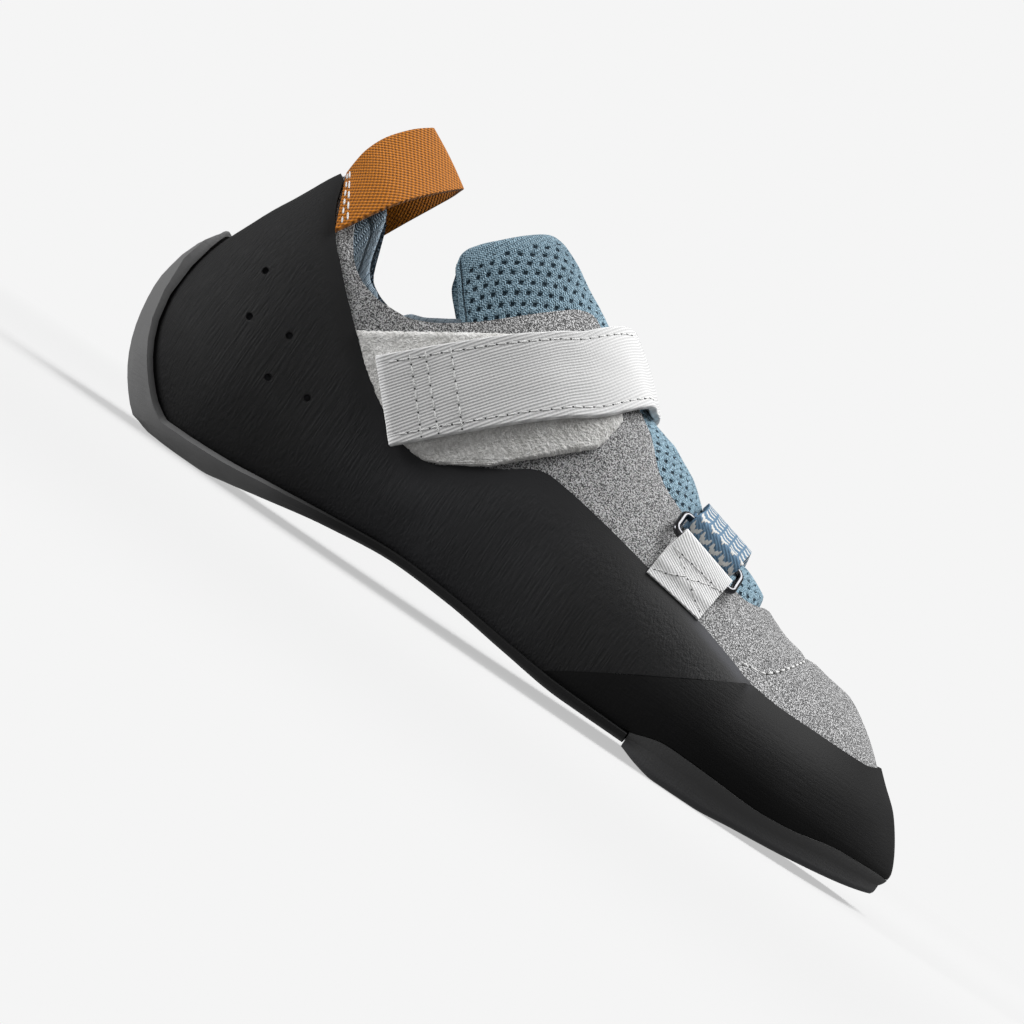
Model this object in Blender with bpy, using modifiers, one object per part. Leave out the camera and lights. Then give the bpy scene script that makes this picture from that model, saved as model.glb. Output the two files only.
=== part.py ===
"""Right climbing shoe with one strap, built as separate closed parts.

Sizes are millimetres until a mesh is made. x runs from the back of the heel to
the toe, y from the lateral (outer) side to the medial (inner) side, z up from
the floor. Every piece that lies on the foot is taken from one skin function,
the outer face of the suede.
"""
import math
from bisect import bisect_right
from collections import namedtuple

import bmesh
import bpy

MM = 0.001

# Overall frame: the middle of the finished box, so the origin is its bottom centre.
MIDDLE_X = 131.75
MIDDLE_Y = -0.60

# Thicknesses and clearances.
WALL = 2.0
CLEAR = 0.4
RAND_THICK = 1.8
RAND_EDGE = 0.45
STRIP_THICK = 2.2
INSOLE_THICK = 2.5
INSOLE_INSET = 3.2
TONGUE_THICK = 3.6
CUFF_THICK = 3.0
CUFF_INSET = WALL + 3.0 * CLEAR
CUFF_BOTTOM = 54.0
PATCH_THICK = 1.5
STRAP_THICK = 2.2
STRAP_WIDTH = 25.0
WEB_THICK = 1.4
TAB_WIDTH = 18.8
BAND_WIDTH = 18.4
LOOP_THICK = 1.5

# The skin is a fan of ribs round a heel axis, straight ribs, and a fan round a toe axis.
HEEL_AXIS_X = 36.0
TOE_AXIS_X = 224.0
TOE_AXIS_Y = 8.0
HEEL_BACK = (4.8, 0.0)
TOE_TIP = (261.4, 15.0)

# Widest outline of the skin seen from above.
Plan = namedtuple("Plan", "along lateral medial")
PLAN = (
    Plan(8.5, -13.5, 13.5),
    Plan(17.0, -22.0, 22.0),
    Plan(36.0, -28.8, 28.8),
    Plan(60.0, -30.0, 29.0),
    Plan(85.0, -31.5, 27.8),
    Plan(110.0, -34.0, 27.8),
    Plan(130.0, -37.2, 30.5),
    Plan(150.0, -41.0, 35.0),
    Plan(170.0, -43.4, 39.8),
    Plan(188.0, -43.5, 42.2),
    Plan(205.0, -41.0, 42.4),
    Plan(222.0, -35.0, 40.6),
    Plan(236.0, -25.5, 37.8),
    Plan(248.0, -12.5, 34.0),
    Plan(256.6, 1.0, 28.3),
)

# Cross sections along the foot: how far the lower edge tucks in, the height of
# the widest point, the crest, the crest's shift and the roundness of each side.
Section = namedtuple("Section", "along tuck_lateral tuck_medial bulge crest spine round_lateral round_medial")
SECTIONS = (
    Section(36.0, 9.5, 9.5, 29.0, 98.6, 0.0, 2.30, 2.30),
    Section(50.0, 8.5, 9.5, 28.0, 106.6, 0.0, 2.30, 2.30),
    Section(70.0, 8.0, 11.0, 27.0, 111.6, 0.0, 2.20, 2.20),
    Section(86.0, 7.5, 12.0, 27.5, 111.6, 0.5, 2.10, 2.15),
    Section(105.0, 7.0, 12.0, 28.0, 103.1, 1.0, 1.95, 2.05),
    Section(125.0, 6.0, 11.0, 26.0, 91.4, 2.0, 1.88, 2.00),
    Section(145.0, 5.0, 9.0, 23.0, 80.0, 3.5, 1.84, 2.00),
    Section(165.0, 4.2, 6.0, 20.5, 68.6, 5.0, 1.80, 2.00),
    Section(185.0, 3.4, 4.0, 18.0, 59.4, 6.5, 1.78, 2.00),
    Section(205.0, 3.0, 3.2, 16.0, 51.8, 7.5, 1.72, 1.95),
    Section(224.0, 2.8, 2.8, 14.5, 49.0, 8.0, 1.62, 1.85),
)
HEEL_TUCK = 20.0
HEEL_BULGE = 37.0
HEEL_ROUND = 1.18
TOE_TUCK = 2.0
TOE_BULGE = 13.0
TOE_ROUND = 1.30

# Lower edge of the upper above the floor.
FEATHER = (
    (36.0, 5.3), (48.0, 6.0), (60.0, 7.6), (80.0, 10.0), (102.0, 11.7), (120.0, 10.9),
    (140.0, 8.8), (160.0, 7.2), (181.0, 7.0), (193.0, 5.6), (205.0, 5.6), (217.0, 6.2),
    (235.0, 7.4), (251.0, 8.8), (264.0, 10.6),
)

# Underside of the two soles; each has one level stretch that stands on the floor.
HEEL_FLOOR = (
    (24.0, 0.0), (42.0, 0.0), (50.0, 1.2), (60.0, 3.1), (80.0, 6.7), (102.0, 8.9),
    (120.0, 8.1), (140.0, 5.9), (160.0, 4.0), (180.0, 3.9),
)
FORE_FLOOR = (
    (181.0, 3.0), (187.0, 1.1), (193.0, 0.0), (205.0, 0.0), (217.0, 1.1), (235.0, 2.5),
    (251.0, 4.1), (264.0, 6.1),
)
SOLE_SPLIT = 180.9
HEEL_RIM = 0.22
LIP = 0.10
FORE_EDGE = (
    (181.0, 8.4), (191.0, 10.4), (200.0, 10.2), (219.0, 9.4), (229.0, 10.0), (245.0, 12.3),
    (255.0, 12.4), (264.0, 11.9),
)

# Top of the rubber strip that climbs the back of the heel, by angle from straight back.
HEEL_STRIP = (
    (0.0, 57.2), (12.0, 56.8), (20.0, 55.0), (25.0, 50.0), (29.0, 41.0), (33.0, 32.0),
    (39.0, 23.5), (48.0, 16.0), (60.0, 10.5), (75.0, 7.8), (90.0, 7.0),
)

# Edges seen from the side.
RAND_TOP = (
    (27.0, 90.0), (29.4, 88.5), (32.0, 82.5), (37.8, 74.1), (43.8, 68.3), (50.9, 61.6), (57.7, 55.7),
    (63.5, 50.7), (71.5, 44.8), (80.7, 39.8), (87.3, 37.0), (91.5, 36.5), (95.7, 37.2),
    (103.6, 41.7), (113.3, 47.0), (120.0, 51.4), (124.0, 52.3), (129.3, 51.8), (143.0, 49.6),
    (159.3, 46.2), (177.7, 42.1), (191.6, 38.1), (201.4, 35.3), (212.8, 34.4), (226.0, 34.4),
    (238.0, 34.6), (244.0, 36.2),
)
COLLAR = (
    (27.0, 92.6), (31.0, 91.4), (36.0, 86.0), (41.5, 77.0), (47.2, 70.4), (52.9, 67.4), (59.0, 66.3),
    (65.6, 66.5), (71.2, 68.2), (78.8, 72.7), (84.8, 77.5), (92.9, 85.2), (101.0, 92.9),
    (104.0, 95.4), (107.8, 96.4), (110.7, 95.2), (123.0, 87.8), (135.4, 80.3), (138.9, 78.2),
    (142.3, 75.2), (146.1, 71.3), (151.0, 67.9), (157.4, 65.2), (170.0, 60.2), (182.9, 55.2),
    (187.0, 55.4),
)
THROAT_END = 193.0
CUFF_TOP = (
    (27.0, 93.6), (36.0, 93.2), (43.0, 92.0), (46.3, 89.0), (48.6, 82.6), (52.2, 73.0), (55.7, 69.6),
    (60.8, 68.0), (69.5, 69.6),
)
CUFF_BACK = {-1: 1.2, 1: 3.6}
SEAM = ((156.1, 11.0), (165.4, 16.4), (179.8, 24.2), (189.5, 29.4), (200.2, 35.1))
SEAM_START = 157.4
SEAM_GAP = 0.9
SEAM_STOP = 197.6

# Tongue: half width as a share of the way from crest to widest point, and how far
# its middle rises from under the flaps.
Tongue = namedtuple("Tongue", "along half rise")
TONGUE = (
    Tongue(67.0, 0.47, 0.0),
    Tongue(70.0, 0.54, 0.0),
    Tongue(75.0, 0.63, 0.0),
    Tongue(82.0, 0.66, 0.0),
    Tongue(95.0, 0.66, 0.2),
    Tongue(115.0, 0.62, 0.6),
    Tongue(135.0, 0.55, 1.2),
    Tongue(147.0, 0.53, 2.4),
    Tongue(158.0, 0.50, 2.2),
    Tongue(166.0, 0.49, 1.7),
    Tongue(175.0, 0.46, 2.2),
    Tongue(183.0, 0.44, 3.2),
    Tongue(190.5, 0.42, 0.0),
    Tongue(200.0, 0.40, 0.0),
)
TONGUE_START = ((0.0, 86.4), (0.25, 82.4), (0.5, 75.6), (0.75, 69.8), (0.92, 67.2), (1.0, 67.8))
TONGUE_FRONT = 198.0
TONGUE_ACROSS = (-1.0, -0.86, -0.66, -0.44, -0.22, 0.0, 0.22, 0.44, 0.66, 0.86, 1.0)
TONGUE_DOWN = (0.0, 0.06, 0.13, 0.21, 0.3, 0.39, 0.48, 0.57, 0.65, 0.73, 0.8, 0.86, 0.89, 0.915, 0.94, 1.0)

# Strap: middle of its free end on the lateral side, direction there, and its way
# over the crest and down the medial side as (along, share of girth).
STRAP_TIP = (75.4, 43.7)
STRAP_ANGLE = 43.5
STRAP_LINE = (0.0, 12.0, 24.0, 36.0, 47.0, 57.0)
STRAP_OVER = ((122.4, -0.17), (126.4, 0.03), (127.8, 0.22), (127.4, 0.40), (126.2, 0.56), (124.6, 0.70))

# Fleece patch in the strap's own directions.
PATCH_BOTTOM = -22.0
PATCH_TOP = 20.6
PATCH_TAPER = 0.187
PATCH_END = 64.0

# Ring on the edge of the throat, and the radius of a band folded round its bars.
RING_AT = (169.9, 56.6)
RING_LONG = 25.6
RING_SHORT = 8.8
RING_WIRE = 1.15
RING_CORNER = 1.9
RING_LIFT = 3.5
RING_SLOPE = -0.27
FOLD_RADIUS = RING_WIRE + CLEAR + 0.5 * WEB_THICK
BAR = 0.5 * RING_SHORT - RING_WIRE
UNDER = CLEAR + 0.5 * WEB_THICK + 0.1
OVER = UNDER + WEB_THICK + CLEAR

# Tab below the ring and band above it, as (distance up the foot from the ring, lift off the skin).
TAB_UNDER = ((-12.0, UNDER), (-8.5, UNDER), (-5.0, UNDER + 0.1))
TAB_OVER = (
    (-6.0, 4.9), (-8.6, 3.7), (-11.0, OVER), (-13.2, OVER - 0.2), (-15.2, UNDER + 0.4), (-17.6, UNDER),
)
BAND_UNDER = ((9.0, 1.6), (7.3, 1.7), (5.6, 1.9))

# Band over the crest: share of girth, and place and height above the skin of its two edges.
Over = namedtuple("Over", "share back back_lift front front_lift")
BAND_OVER = (
    Over(-0.30, 161.9, 4.3, 178.0, 5.4),
    Over(-0.22, 162.2, 3.0, 178.2, 5.1),
    Over(-0.14, 162.3, 1.7, 178.4, 4.9),
    Over(-0.06, 162.4, 0.8, 178.5, 4.3),
    Over(0.02, 162.5, 0.4, 178.7, 4.0),
    Over(0.11, 162.9, 0.5, 179.1, 3.7),
    Over(0.21, 163.5, 0.8, 179.8, 3.4),
    Over(0.32, 164.3, 1.2, 180.8, 2.4),
    Over(0.44, 165.2, 1.4, 182.1, 1.6),
)

# Pull loop, upper and lower edge of its lateral half, from the heel to the fold.
Loop = namedtuple("Loop", "upper_x upper_y upper_z lower_x lower_y lower_z")
LOOP = (
    Loop(29.4, -14.0, 95.4, 41.6, -23.0, 83.6),
    Loop(29.9, -12.6, 99.9, 46.0, -19.6, 91.2),
    Loop(31.8, -9.6, 105.4, 50.2, -14.0, 97.4),
    Loop(35.6, -5.4, 111.2, 53.7, -7.6, 102.2),
    Loop(38.8, -1.8, 114.6, 55.6, -2.4, 105.0),
    Loop(39.6, 0.0, 115.3, 56.2, 0.0, 105.8),
)
LOOP_BASE_UPPER = (31.4, 90.0)
LOOP_BASE_LOWER = (38.9, 75.6)

# Ribs that every piece shares, the fewer that the long flat pieces use, and steps up a rib.
HEEL_ANGLES = (0.0, 9.0, 16.0, 21.0, 25.0, 29.0, 34.0, 42.0, 53.0, 66.0, 79.0)
SIDE_STOPS = (
    36.0, 41.0, 44.5, 48.0, 52.0, 58.0, 64.0, 70.0, 78.0, 87.0, 95.0, 102.0, 108.0, 115.0, 125.0,
    135.0, 141.0, 146.0, 152.0, 162.0, 172.0, 180.0, 185.0, 189.0, 193.0, 199.0, 205.0, 214.0,
)
LONG_STOPS = (36.0, 42.0, 50.0, 62.0, 78.0, 95.0, 115.0, 135.0, 155.0, 172.0, 185.0, 199.0, 214.0)
TOE_SHARES = (0.0, 0.16, 0.32, 0.48, 0.64, 0.82)
RAND_STEPS = (0.0, 0.27, 0.54, 0.81, 1.0)
UPPER_STEPS = (0.22, 0.48, 0.74, 1.0)
STRIP_STEPS = (0.0, 0.2, 0.4, 0.6, 0.8, 1.0)
ACROSS = (-0.5, -0.25, 0.0, 0.25, 0.5)


class Curve:
    """Smooth curve through the rows of a table that never overshoots them."""

    def __init__(self, rows):
        self.x = [row[0] for row in rows]
        self.y = [row[1] for row in rows]
        count = len(rows)
        slope = []
        for i in range(count - 1):
            slope.append((self.y[i + 1] - self.y[i]) / (self.x[i + 1] - self.x[i]))
        self.tangent = [slope[0]]
        for i in range(1, count - 1):
            same_way = slope[i - 1] * slope[i] > 0.0
            mean = 2.0 * slope[i - 1] * slope[i] / (slope[i - 1] + slope[i]) if same_way else 0.0
            self.tangent.append(mean)
        self.tangent.append(slope[-1])

    def __call__(self, at):
        at = min(max(at, self.x[0]), self.x[-1])
        i = min(bisect_right(self.x, at) - 1, len(self.x) - 2)
        step = self.x[i + 1] - self.x[i]
        t = (at - self.x[i]) / step
        start = (1.0 + 2.0 * t) * (1.0 - t) ** 2 * self.y[i]
        leave = t * (1.0 - t) ** 2 * step * self.tangent[i]
        stop = t * t * (3.0 - 2.0 * t) * self.y[i + 1]
        arrive = t * t * (t - 1.0) * step * self.tangent[i + 1]
        return start + leave + stop + arrive


def column(rows, name):
    """Curve of one named column of a table against its first column."""
    return Curve([(row[0], getattr(row, name)) for row in rows])


def add(a, b, scale=1.0):
    return tuple(p + scale * q for p, q in zip(a, b))


def dot(a, b):
    return sum(p * q for p, q in zip(a, b))


def cross(a, b):
    return (a[1] * b[2] - a[2] * b[1], a[2] * b[0] - a[0] * b[2], a[0] * b[1] - a[1] * b[0])


def unit(a):
    size = math.sqrt(dot(a, a))
    return tuple(p / size for p in a) if size > 1e-9 else (0.0, 0.0, 1.0)


def mix(a, b, t):
    return a + (b - a) * t


def closed_spline(points, steps):
    """Points of a smooth closed curve through the given corners."""
    count = len(points)
    result = []
    for i in range(count):
        before, here = points[i - 1], points[i]
        after, later = points[(i + 1) % count], points[(i + 2) % count]
        for k in range(steps):
            t = k / steps
            spot = []
            for axis in range(2):
                a, b, c, d = before[axis], here[axis], after[axis], later[axis]
                bend = (2.0 * b + (c - a) * t + (2.0 * a - 5.0 * b + 4.0 * c - d) * t * t
                        + (3.0 * b - a - 3.0 * c + d) * t ** 3)
                spot.append(0.5 * bend)
            result.append(tuple(spot))
    return result


def read_off(pairs, at):
    """Straight-line reading of a sorted list of pairs."""
    if at <= pairs[0][0]:
        return pairs[0][1]
    for (x0, y0), (x1, y1) in zip(pairs, pairs[1:]):
        if at <= x1:
            return mix(y0, y1, (at - x0) / (x1 - x0)) if x1 > x0 else y1
    return pairs[-1][1]


LATERAL = -1
MEDIAL = 1
OUTLINE = closed_spline(
    [HEEL_BACK] + [(row.along, row.lateral) for row in PLAN] + [TOE_TIP]
    + [(row.along, row.medial) for row in reversed(PLAN)], 14)
SIDE_OUTLINE = {}
HEEL_OUTLINE = {}
TOE_OUTLINE = sorted(
    (math.atan2(y - TOE_AXIS_Y, x - TOE_AXIS_X), math.hypot(x - TOE_AXIS_X, y - TOE_AXIS_Y))
    for x, y in OUTLINE if x > TOE_AXIS_X - 16.0)
for hand in (LATERAL, MEDIAL):
    SIDE_OUTLINE[hand] = sorted((x, y) for x, y in OUTLINE if 20.0 < x < 245.0 and y * hand > 0.0)
    HEEL_OUTLINE[hand] = sorted(
        (math.atan2(y * hand, HEEL_AXIS_X - x), math.hypot(x - HEEL_AXIS_X, y))
        for x, y in OUTLINE if x < HEEL_AXIS_X + 12.0 and y * hand > -1e-6)
TIP_ANGLE = math.atan2(TOE_TIP[1] - TOE_AXIS_Y, TOE_TIP[0] - TOE_AXIS_X)

TUCK = {LATERAL: column(SECTIONS, "tuck_lateral"), MEDIAL: column(SECTIONS, "tuck_medial")}
ROUND = {LATERAL: column(SECTIONS, "round_lateral"), MEDIAL: column(SECTIONS, "round_medial")}
BULGE = column(SECTIONS, "bulge")
CREST = column(SECTIONS, "crest")
SPINE = column(SECTIONS, "spine")
FEATHER_LINE = Curve(FEATHER)
HEEL_FLOOR_LINE = Curve(HEEL_FLOOR)
FORE_FLOOR_LINE = Curve(FORE_FLOOR)
FORE_EDGE_LINE = Curve(FORE_EDGE)
STRIP_LINE = Curve(HEEL_STRIP)
RAND_LINE = Curve(RAND_TOP)
COLLAR_LINE = Curve(COLLAR)
CUFF_LINE = Curve(CUFF_TOP)
SEAM_LINE = Curve(SEAM)
TONGUE_HALF = column(TONGUE, "half")
TONGUE_RISE = column(TONGUE, "rise")
TONGUE_START_LINE = Curve(TONGUE_START)

Rib = namedtuple("Rib", "x y way_x way_y foot reach feather bulge crest round along angle")
RIBS = {}


def station(along):
    """Place on the perimeter of a straight rib: 1 at the heel axis, 2 at the toe axis."""
    return 1.0 + (along - HEEL_AXIS_X) / (TOE_AXIS_X - HEEL_AXIS_X)


def rib(hand, place):
    """Rib of one side: place 0 is straight back, 3 is the tip of the toe."""
    if place < 0.0:
        hand, place = -hand, -place
    if place > 3.0:
        hand, place = -hand, 6.0 - place
    key = (hand, round(place, 6))
    if key not in RIBS:
        RIBS[key] = make_rib(hand, place)
    return RIBS[key]


def make_rib(hand, place):
    if place < 1.0:
        angle = place * math.pi / 2.0
        reach = read_off(HEEL_OUTLINE[hand], angle)
        side = math.sin(angle) ** 2
        tuck = mix(HEEL_TUCK, TUCK[hand](HEEL_AXIS_X), side)
        bulge = mix(HEEL_BULGE, BULGE(HEEL_AXIS_X), side)
        bend = mix(HEEL_ROUND, ROUND[hand](HEEL_AXIS_X), side)
        way = (-math.cos(angle), hand * math.sin(angle))
        along = HEEL_AXIS_X - reach * math.cos(angle)
        return Rib(HEEL_AXIS_X, 0.0, way[0], way[1], reach - tuck, reach, FEATHER_LINE(HEEL_AXIS_X), bulge,
                   CREST(HEEL_AXIS_X), bend, along, math.degrees(angle))
    if place <= 2.0:
        along = mix(HEEL_AXIS_X, TOE_AXIS_X, place - 1.0)
        spine = SPINE(along)
        reach = hand * (read_off(SIDE_OUTLINE[hand], along) - spine)
        return Rib(along, spine, 0.0, float(hand), reach - TUCK[hand](along), reach, FEATHER_LINE(along),
                   BULGE(along), CREST(along), ROUND[hand](along), along, 90.0)
    share = place - 2.0
    angle = mix(hand * math.pi / 2.0, TIP_ANGLE, share)
    reach = read_off(TOE_OUTLINE, angle)
    tip = share * share * (3.0 - 2.0 * share)
    along = TOE_AXIS_X + reach * math.cos(angle)
    return Rib(TOE_AXIS_X, TOE_AXIS_Y, math.cos(angle), math.sin(angle),
               reach - mix(TUCK[hand](TOE_AXIS_X), TOE_TUCK, tip), reach, FEATHER_LINE(along),
               mix(BULGE(TOE_AXIS_X), TOE_BULGE, tip), CREST(TOE_AXIS_X),
               mix(ROUND[hand](TOE_AXIS_X), TOE_ROUND, tip), along, 90.0)


def profile(piece, level):
    """Reach and height on a rib: level 0 lower edge, 1 widest point, 2 crest."""
    if level <= 1.0:
        turn = level * math.pi / 2.0
        reach = piece.foot + (piece.reach - piece.foot) * math.sin(turn)
        return reach, piece.bulge - (piece.bulge - piece.feather) * math.cos(turn)
    turn = (min(level, 2.0) - 1.0) * math.pi / 2.0
    power = 2.0 / piece.round
    reach = piece.reach * max(math.cos(turn), 0.0) ** power
    if level >= 2.0:
        reach = 0.0
    return reach, piece.bulge + (piece.crest - piece.bulge) * math.sin(turn) ** power


def skin(hand, place, level):
    """Point of the skin."""
    piece = rib(hand, place)
    reach, height = profile(piece, level)
    return (piece.x + piece.way_x * reach, piece.y + piece.way_y * reach, height)


def normal(hand, place, level):
    """Outward direction of the skin."""
    low = max(level - 0.01, 0.0)
    high = min(level + 0.01, 1.995)
    level = min(level, 1.99)
    up = add(skin(hand, place, high), skin(hand, place, low), -1.0)
    along = add(skin(hand, place + 0.004, level), skin(hand, place - 0.004, level), -1.0)
    out = cross(up, along) if hand == MEDIAL else cross(along, up)
    return unit(out)


def lifted(hand, place, level, lift):
    """Point at a distance outside the skin, negative inside."""
    return add(skin(hand, place, level), normal(hand, place, level), lift)


def level_under(hand, place, line, start=0.0, stop=2.0):
    """Level at which a rib rises through a line seen from the side."""
    steps = 90
    last = start
    for k in range(1, steps + 1):
        level = mix(start, stop, k / steps)
        spot = skin(hand, place, level)
        if spot[2] > line(spot[0]):
            low, high = last, level
            for _ in range(24):
                middle = 0.5 * (low + high)
                spot = skin(hand, place, middle)
                if spot[2] > line(spot[0]):
                    high = middle
                else:
                    low = middle
            return low
        last = level
    return stop


def level_at_height(hand, place, height):
    return level_under(hand, place, lambda x: height)


def on_side(hand, x, z):
    """Place and level of the skin point seen at x, z from the side."""
    if x >= HEEL_AXIS_X:
        place = station(x)
        return place, level_at_height(hand, place, z)
    low, high = 0.0, 1.0
    for _ in range(30):
        place = 0.5 * (low + high)
        level = level_at_height(hand, place, z)
        if skin(hand, place, level)[0] < x:
            low = place
        else:
            high = place
    return place, level


def girth(along, share):
    """Hand, place and level from a place along the foot and a signed share of girth from the crest."""
    hand = MEDIAL if share > 0.0 else LATERAL
    return hand, station(along), 2.0 - abs(share)


def step_on_skin(along, share, way, length):
    """Walk on the skin in a given direction and return the new along and share."""
    pieces = max(1, int(math.ceil(abs(length) / 1.5)))
    for _ in range(pieces):
        here = skin(*girth(along, share))
        forward = add(skin(*girth(along + 0.5, share)), here, -1.0)
        around = add(skin(*girth(along, share + 0.01)), here, -1.0)
        move = tuple(p * length / pieces for p in way)
        a, b, c = dot(forward, forward), dot(forward, around), dot(around, around)
        p, q = dot(move, forward), dot(move, around)
        size = a * c - b * b
        along += 0.5 * (p * c - q * b) / size
        share += 0.01 * (q * a - p * b) / size
    return along, share


def places(stops):
    """Every rib of one side from straight back to the toe, the tip left out."""
    heel = [angle / 90.0 for angle in HEEL_ANGLES]
    side = [station(along) for along in stops]
    toe = [2.0 + share for share in TOE_SHARES]
    return heel + side + toe


def perimeter(first=0.0, last=3.0, stops=SIDE_STOPS):
    """Ribs as (hand, place) from the lateral side round the given end to the medial side."""
    line = [place for place in places(stops) if first <= place <= last]
    if first <= 0.0 and last >= 3.0:
        lateral = [(LATERAL, place) for place in line]
        medial = [(MEDIAL, place) for place in reversed(line) if place > 0.0]
        return lateral + [(LATERAL, 3.0)] + medial
    if first <= 0.0:
        lateral = [(LATERAL, place) for place in reversed(line) if place > 0.0]
        return lateral + [(MEDIAL, place) for place in line]
    lateral = [(LATERAL, place) for place in line]
    return lateral + [(LATERAL, 3.0)] + [(MEDIAL, place) for place in reversed(line)]


class Solid:
    """Mesh made of faces whose equal corners are shared."""

    def __init__(self):
        self.mesh = bmesh.new()
        self.corners = {}

    def corner(self, point):
        key = tuple(round(value, 3) for value in point)
        if key not in self.corners:
            where = ((point[0] - MIDDLE_X) * MM, (point[1] - MIDDLE_Y) * MM, point[2] * MM)
            self.corners[key] = self.mesh.verts.new(where)
        return self.corners[key]

    def face(self, points):
        ring = []
        for point in points:
            vert = self.corner(point)
            if vert not in ring:
                ring.append(vert)
        if len(ring) > 2 and not self.mesh.faces.get(ring):
            self.mesh.faces.new(ring)

    def grid(self, rows, around=False):
        """Faces between neighbouring rows of points."""
        pairs = list(zip(rows, rows[1:]))
        if around:
            pairs.append((rows[-1], rows[0]))
        for one, two in pairs:
            for k in range(len(one) - 1):
                self.halves(one[k], one[k + 1], two[k + 1], two[k])

    def halves(self, a, b, c, d):
        """Two triangles of a four-sided patch, cut along its shorter diagonal."""
        first = add(c, a, -1.0)
        second = add(d, b, -1.0)
        if dot(first, first) <= dot(second, second):
            self.face([a, b, c])
            self.face([a, c, d])
        else:
            self.face([a, b, d])
            self.face([b, c, d])

    def finish(self, name, material):
        bmesh.ops.recalc_face_normals(self.mesh, faces=self.mesh.faces[:])
        data = bpy.data.meshes.new(name)
        self.mesh.to_mesh(data)
        self.mesh.free()
        data.materials.append(material)
        piece = bpy.data.objects.new(name, data)
        COLLECTION.objects.link(piece)
        return piece


def thicken(piece, thickness, offset, group=None):
    """Give an open surface a wall; offset 1 grows outward, -1 inward, 0 both ways."""
    wall = piece.modifiers.new("Wall", "SOLIDIFY")
    wall.thickness = thickness * MM
    wall.offset = offset
    wall.use_even_offset = True
    wall.use_quality_normals = True
    wall.use_rim = True
    if group:
        wall.vertex_group = group
        wall.thickness_vertex_group = RAND_EDGE
    return wall


def outward(piece, hint):
    """Turn an open surface so that its faces look away from a point inside."""
    data = piece.data
    inside = ((hint[0] - MIDDLE_X) * MM, (hint[1] - MIDDLE_Y) * MM, hint[2] * MM)
    total = 0.0
    for polygon in data.polygons:
        total += dot(tuple(polygon.normal), add(tuple(polygon.center), inside, -1.0)) * polygon.area
    if total < 0.0:
        data.flip_normals()


def material(name, red, green, blue, rough, metal=0.0):
    made = bpy.data.materials.new(name)
    made.use_nodes = True
    shader = made.node_tree.nodes["Principled BSDF"]
    shader.inputs["Base Color"].default_value = (red, green, blue, 1.0)
    shader.inputs["Roughness"].default_value = rough
    shader.inputs["Metallic"].default_value = metal
    return made


def top_level(hand, place):
    """Top edge of the suede: the collar and throat, or the crest ahead of the throat."""
    if place >= station(THROAT_END) - 1e-6:
        return 2.0
    return level_under(hand, place, COLLAR_LINE, 1.0)


def fore_level(hand, place):
    """Level of the forefoot sole's top edge."""
    return level_under(hand, place, FORE_EDGE_LINE)


def rand_bottom(hand, place):
    """Level at which the rubber rand starts above the sole."""
    if place < station(SOLE_SPLIT - 2.0):
        return HEEL_RIM
    return fore_level(hand, place)


def rand_top(hand, place):
    return level_under(hand, place, RAND_LINE, 0.3)


def upper_levels(hand, place):
    """Levels of one rib of the upper, sharing the rand's own steps under it."""
    low = rand_bottom(hand, place)
    high = rand_top(hand, place)
    top = top_level(hand, place)
    levels = [0.0]
    levels += [mix(low, high, step) for step in RAND_STEPS]
    levels += [mix(high, top, step) for step in UPPER_STEPS]
    return levels


def build_upper():
    solid = Solid()
    rows = []
    for hand, place in perimeter():
        rows.append([skin(hand, place, level) for level in upper_levels(hand, place)])
    solid.grid(rows, around=True)
    piece = solid.finish("upper", material("suede", 0.19, 0.19, 0.19, 0.95))
    outward(piece, (130.0, 0.0, 30.0))
    thicken(piece, WALL, -1.0)


def rand_rows(ribs, low_of, high_of):
    rows = []
    for hand, place in ribs:
        low = low_of(hand, place)
        high = high_of(hand, place)
        beside_seam = station(SEAM_START - 8.0) < place < station(SEAM_STOP + 3.0)
        lift = 1.6 * CLEAR if beside_seam else CLEAR
        rows.append([lifted(hand, place, mix(low, high, step), lift) for step in RAND_STEPS])
    return rows


def skive(piece, rows):
    """Mark all but the top row so that the wall thins to an edge there."""
    group = piece.vertex_groups.new(name="Full")
    edge = set()
    for row in rows:
        edge.add(tuple(round(value, 3) for value in row[-1]))
    body = []
    for vert in piece.data.vertices:
        spot = (vert.co.x / MM + MIDDLE_X, vert.co.y / MM + MIDDLE_Y, vert.co.z / MM)
        near = min(sum(abs(p - q) for p, q in zip(spot, other)) for other in edge)
        if near > 0.02:
            body.append(vert.index)
    group.add(body, 1.0, "REPLACE")
    return group.name


def build_heel_rand():
    stops = sorted(SIDE_STOPS + (SEAM_START - SEAM_GAP, SEAM_START, SEAM_STOP))
    ribs = perimeter(0.0, station(SEAM_STOP) + 1e-6, stops)

    def low(hand, place):
        bottom = rand_bottom(hand, place) + 0.02
        if place < station(SEAM_START) - 1e-6:
            return bottom
        return max(bottom, level_under(hand, place, SEAM_LINE) + 0.03)

    rows = rand_rows(ribs, low, rand_top)
    solid = Solid()
    solid.grid(rows)
    piece = solid.finish("heel_rand", material("rand_rubber", 0.03, 0.03, 0.032, 0.6))
    outward(piece, (90.0, 0.0, 40.0))
    thicken(piece, RAND_THICK, 1.0, skive(piece, rows))


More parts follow.
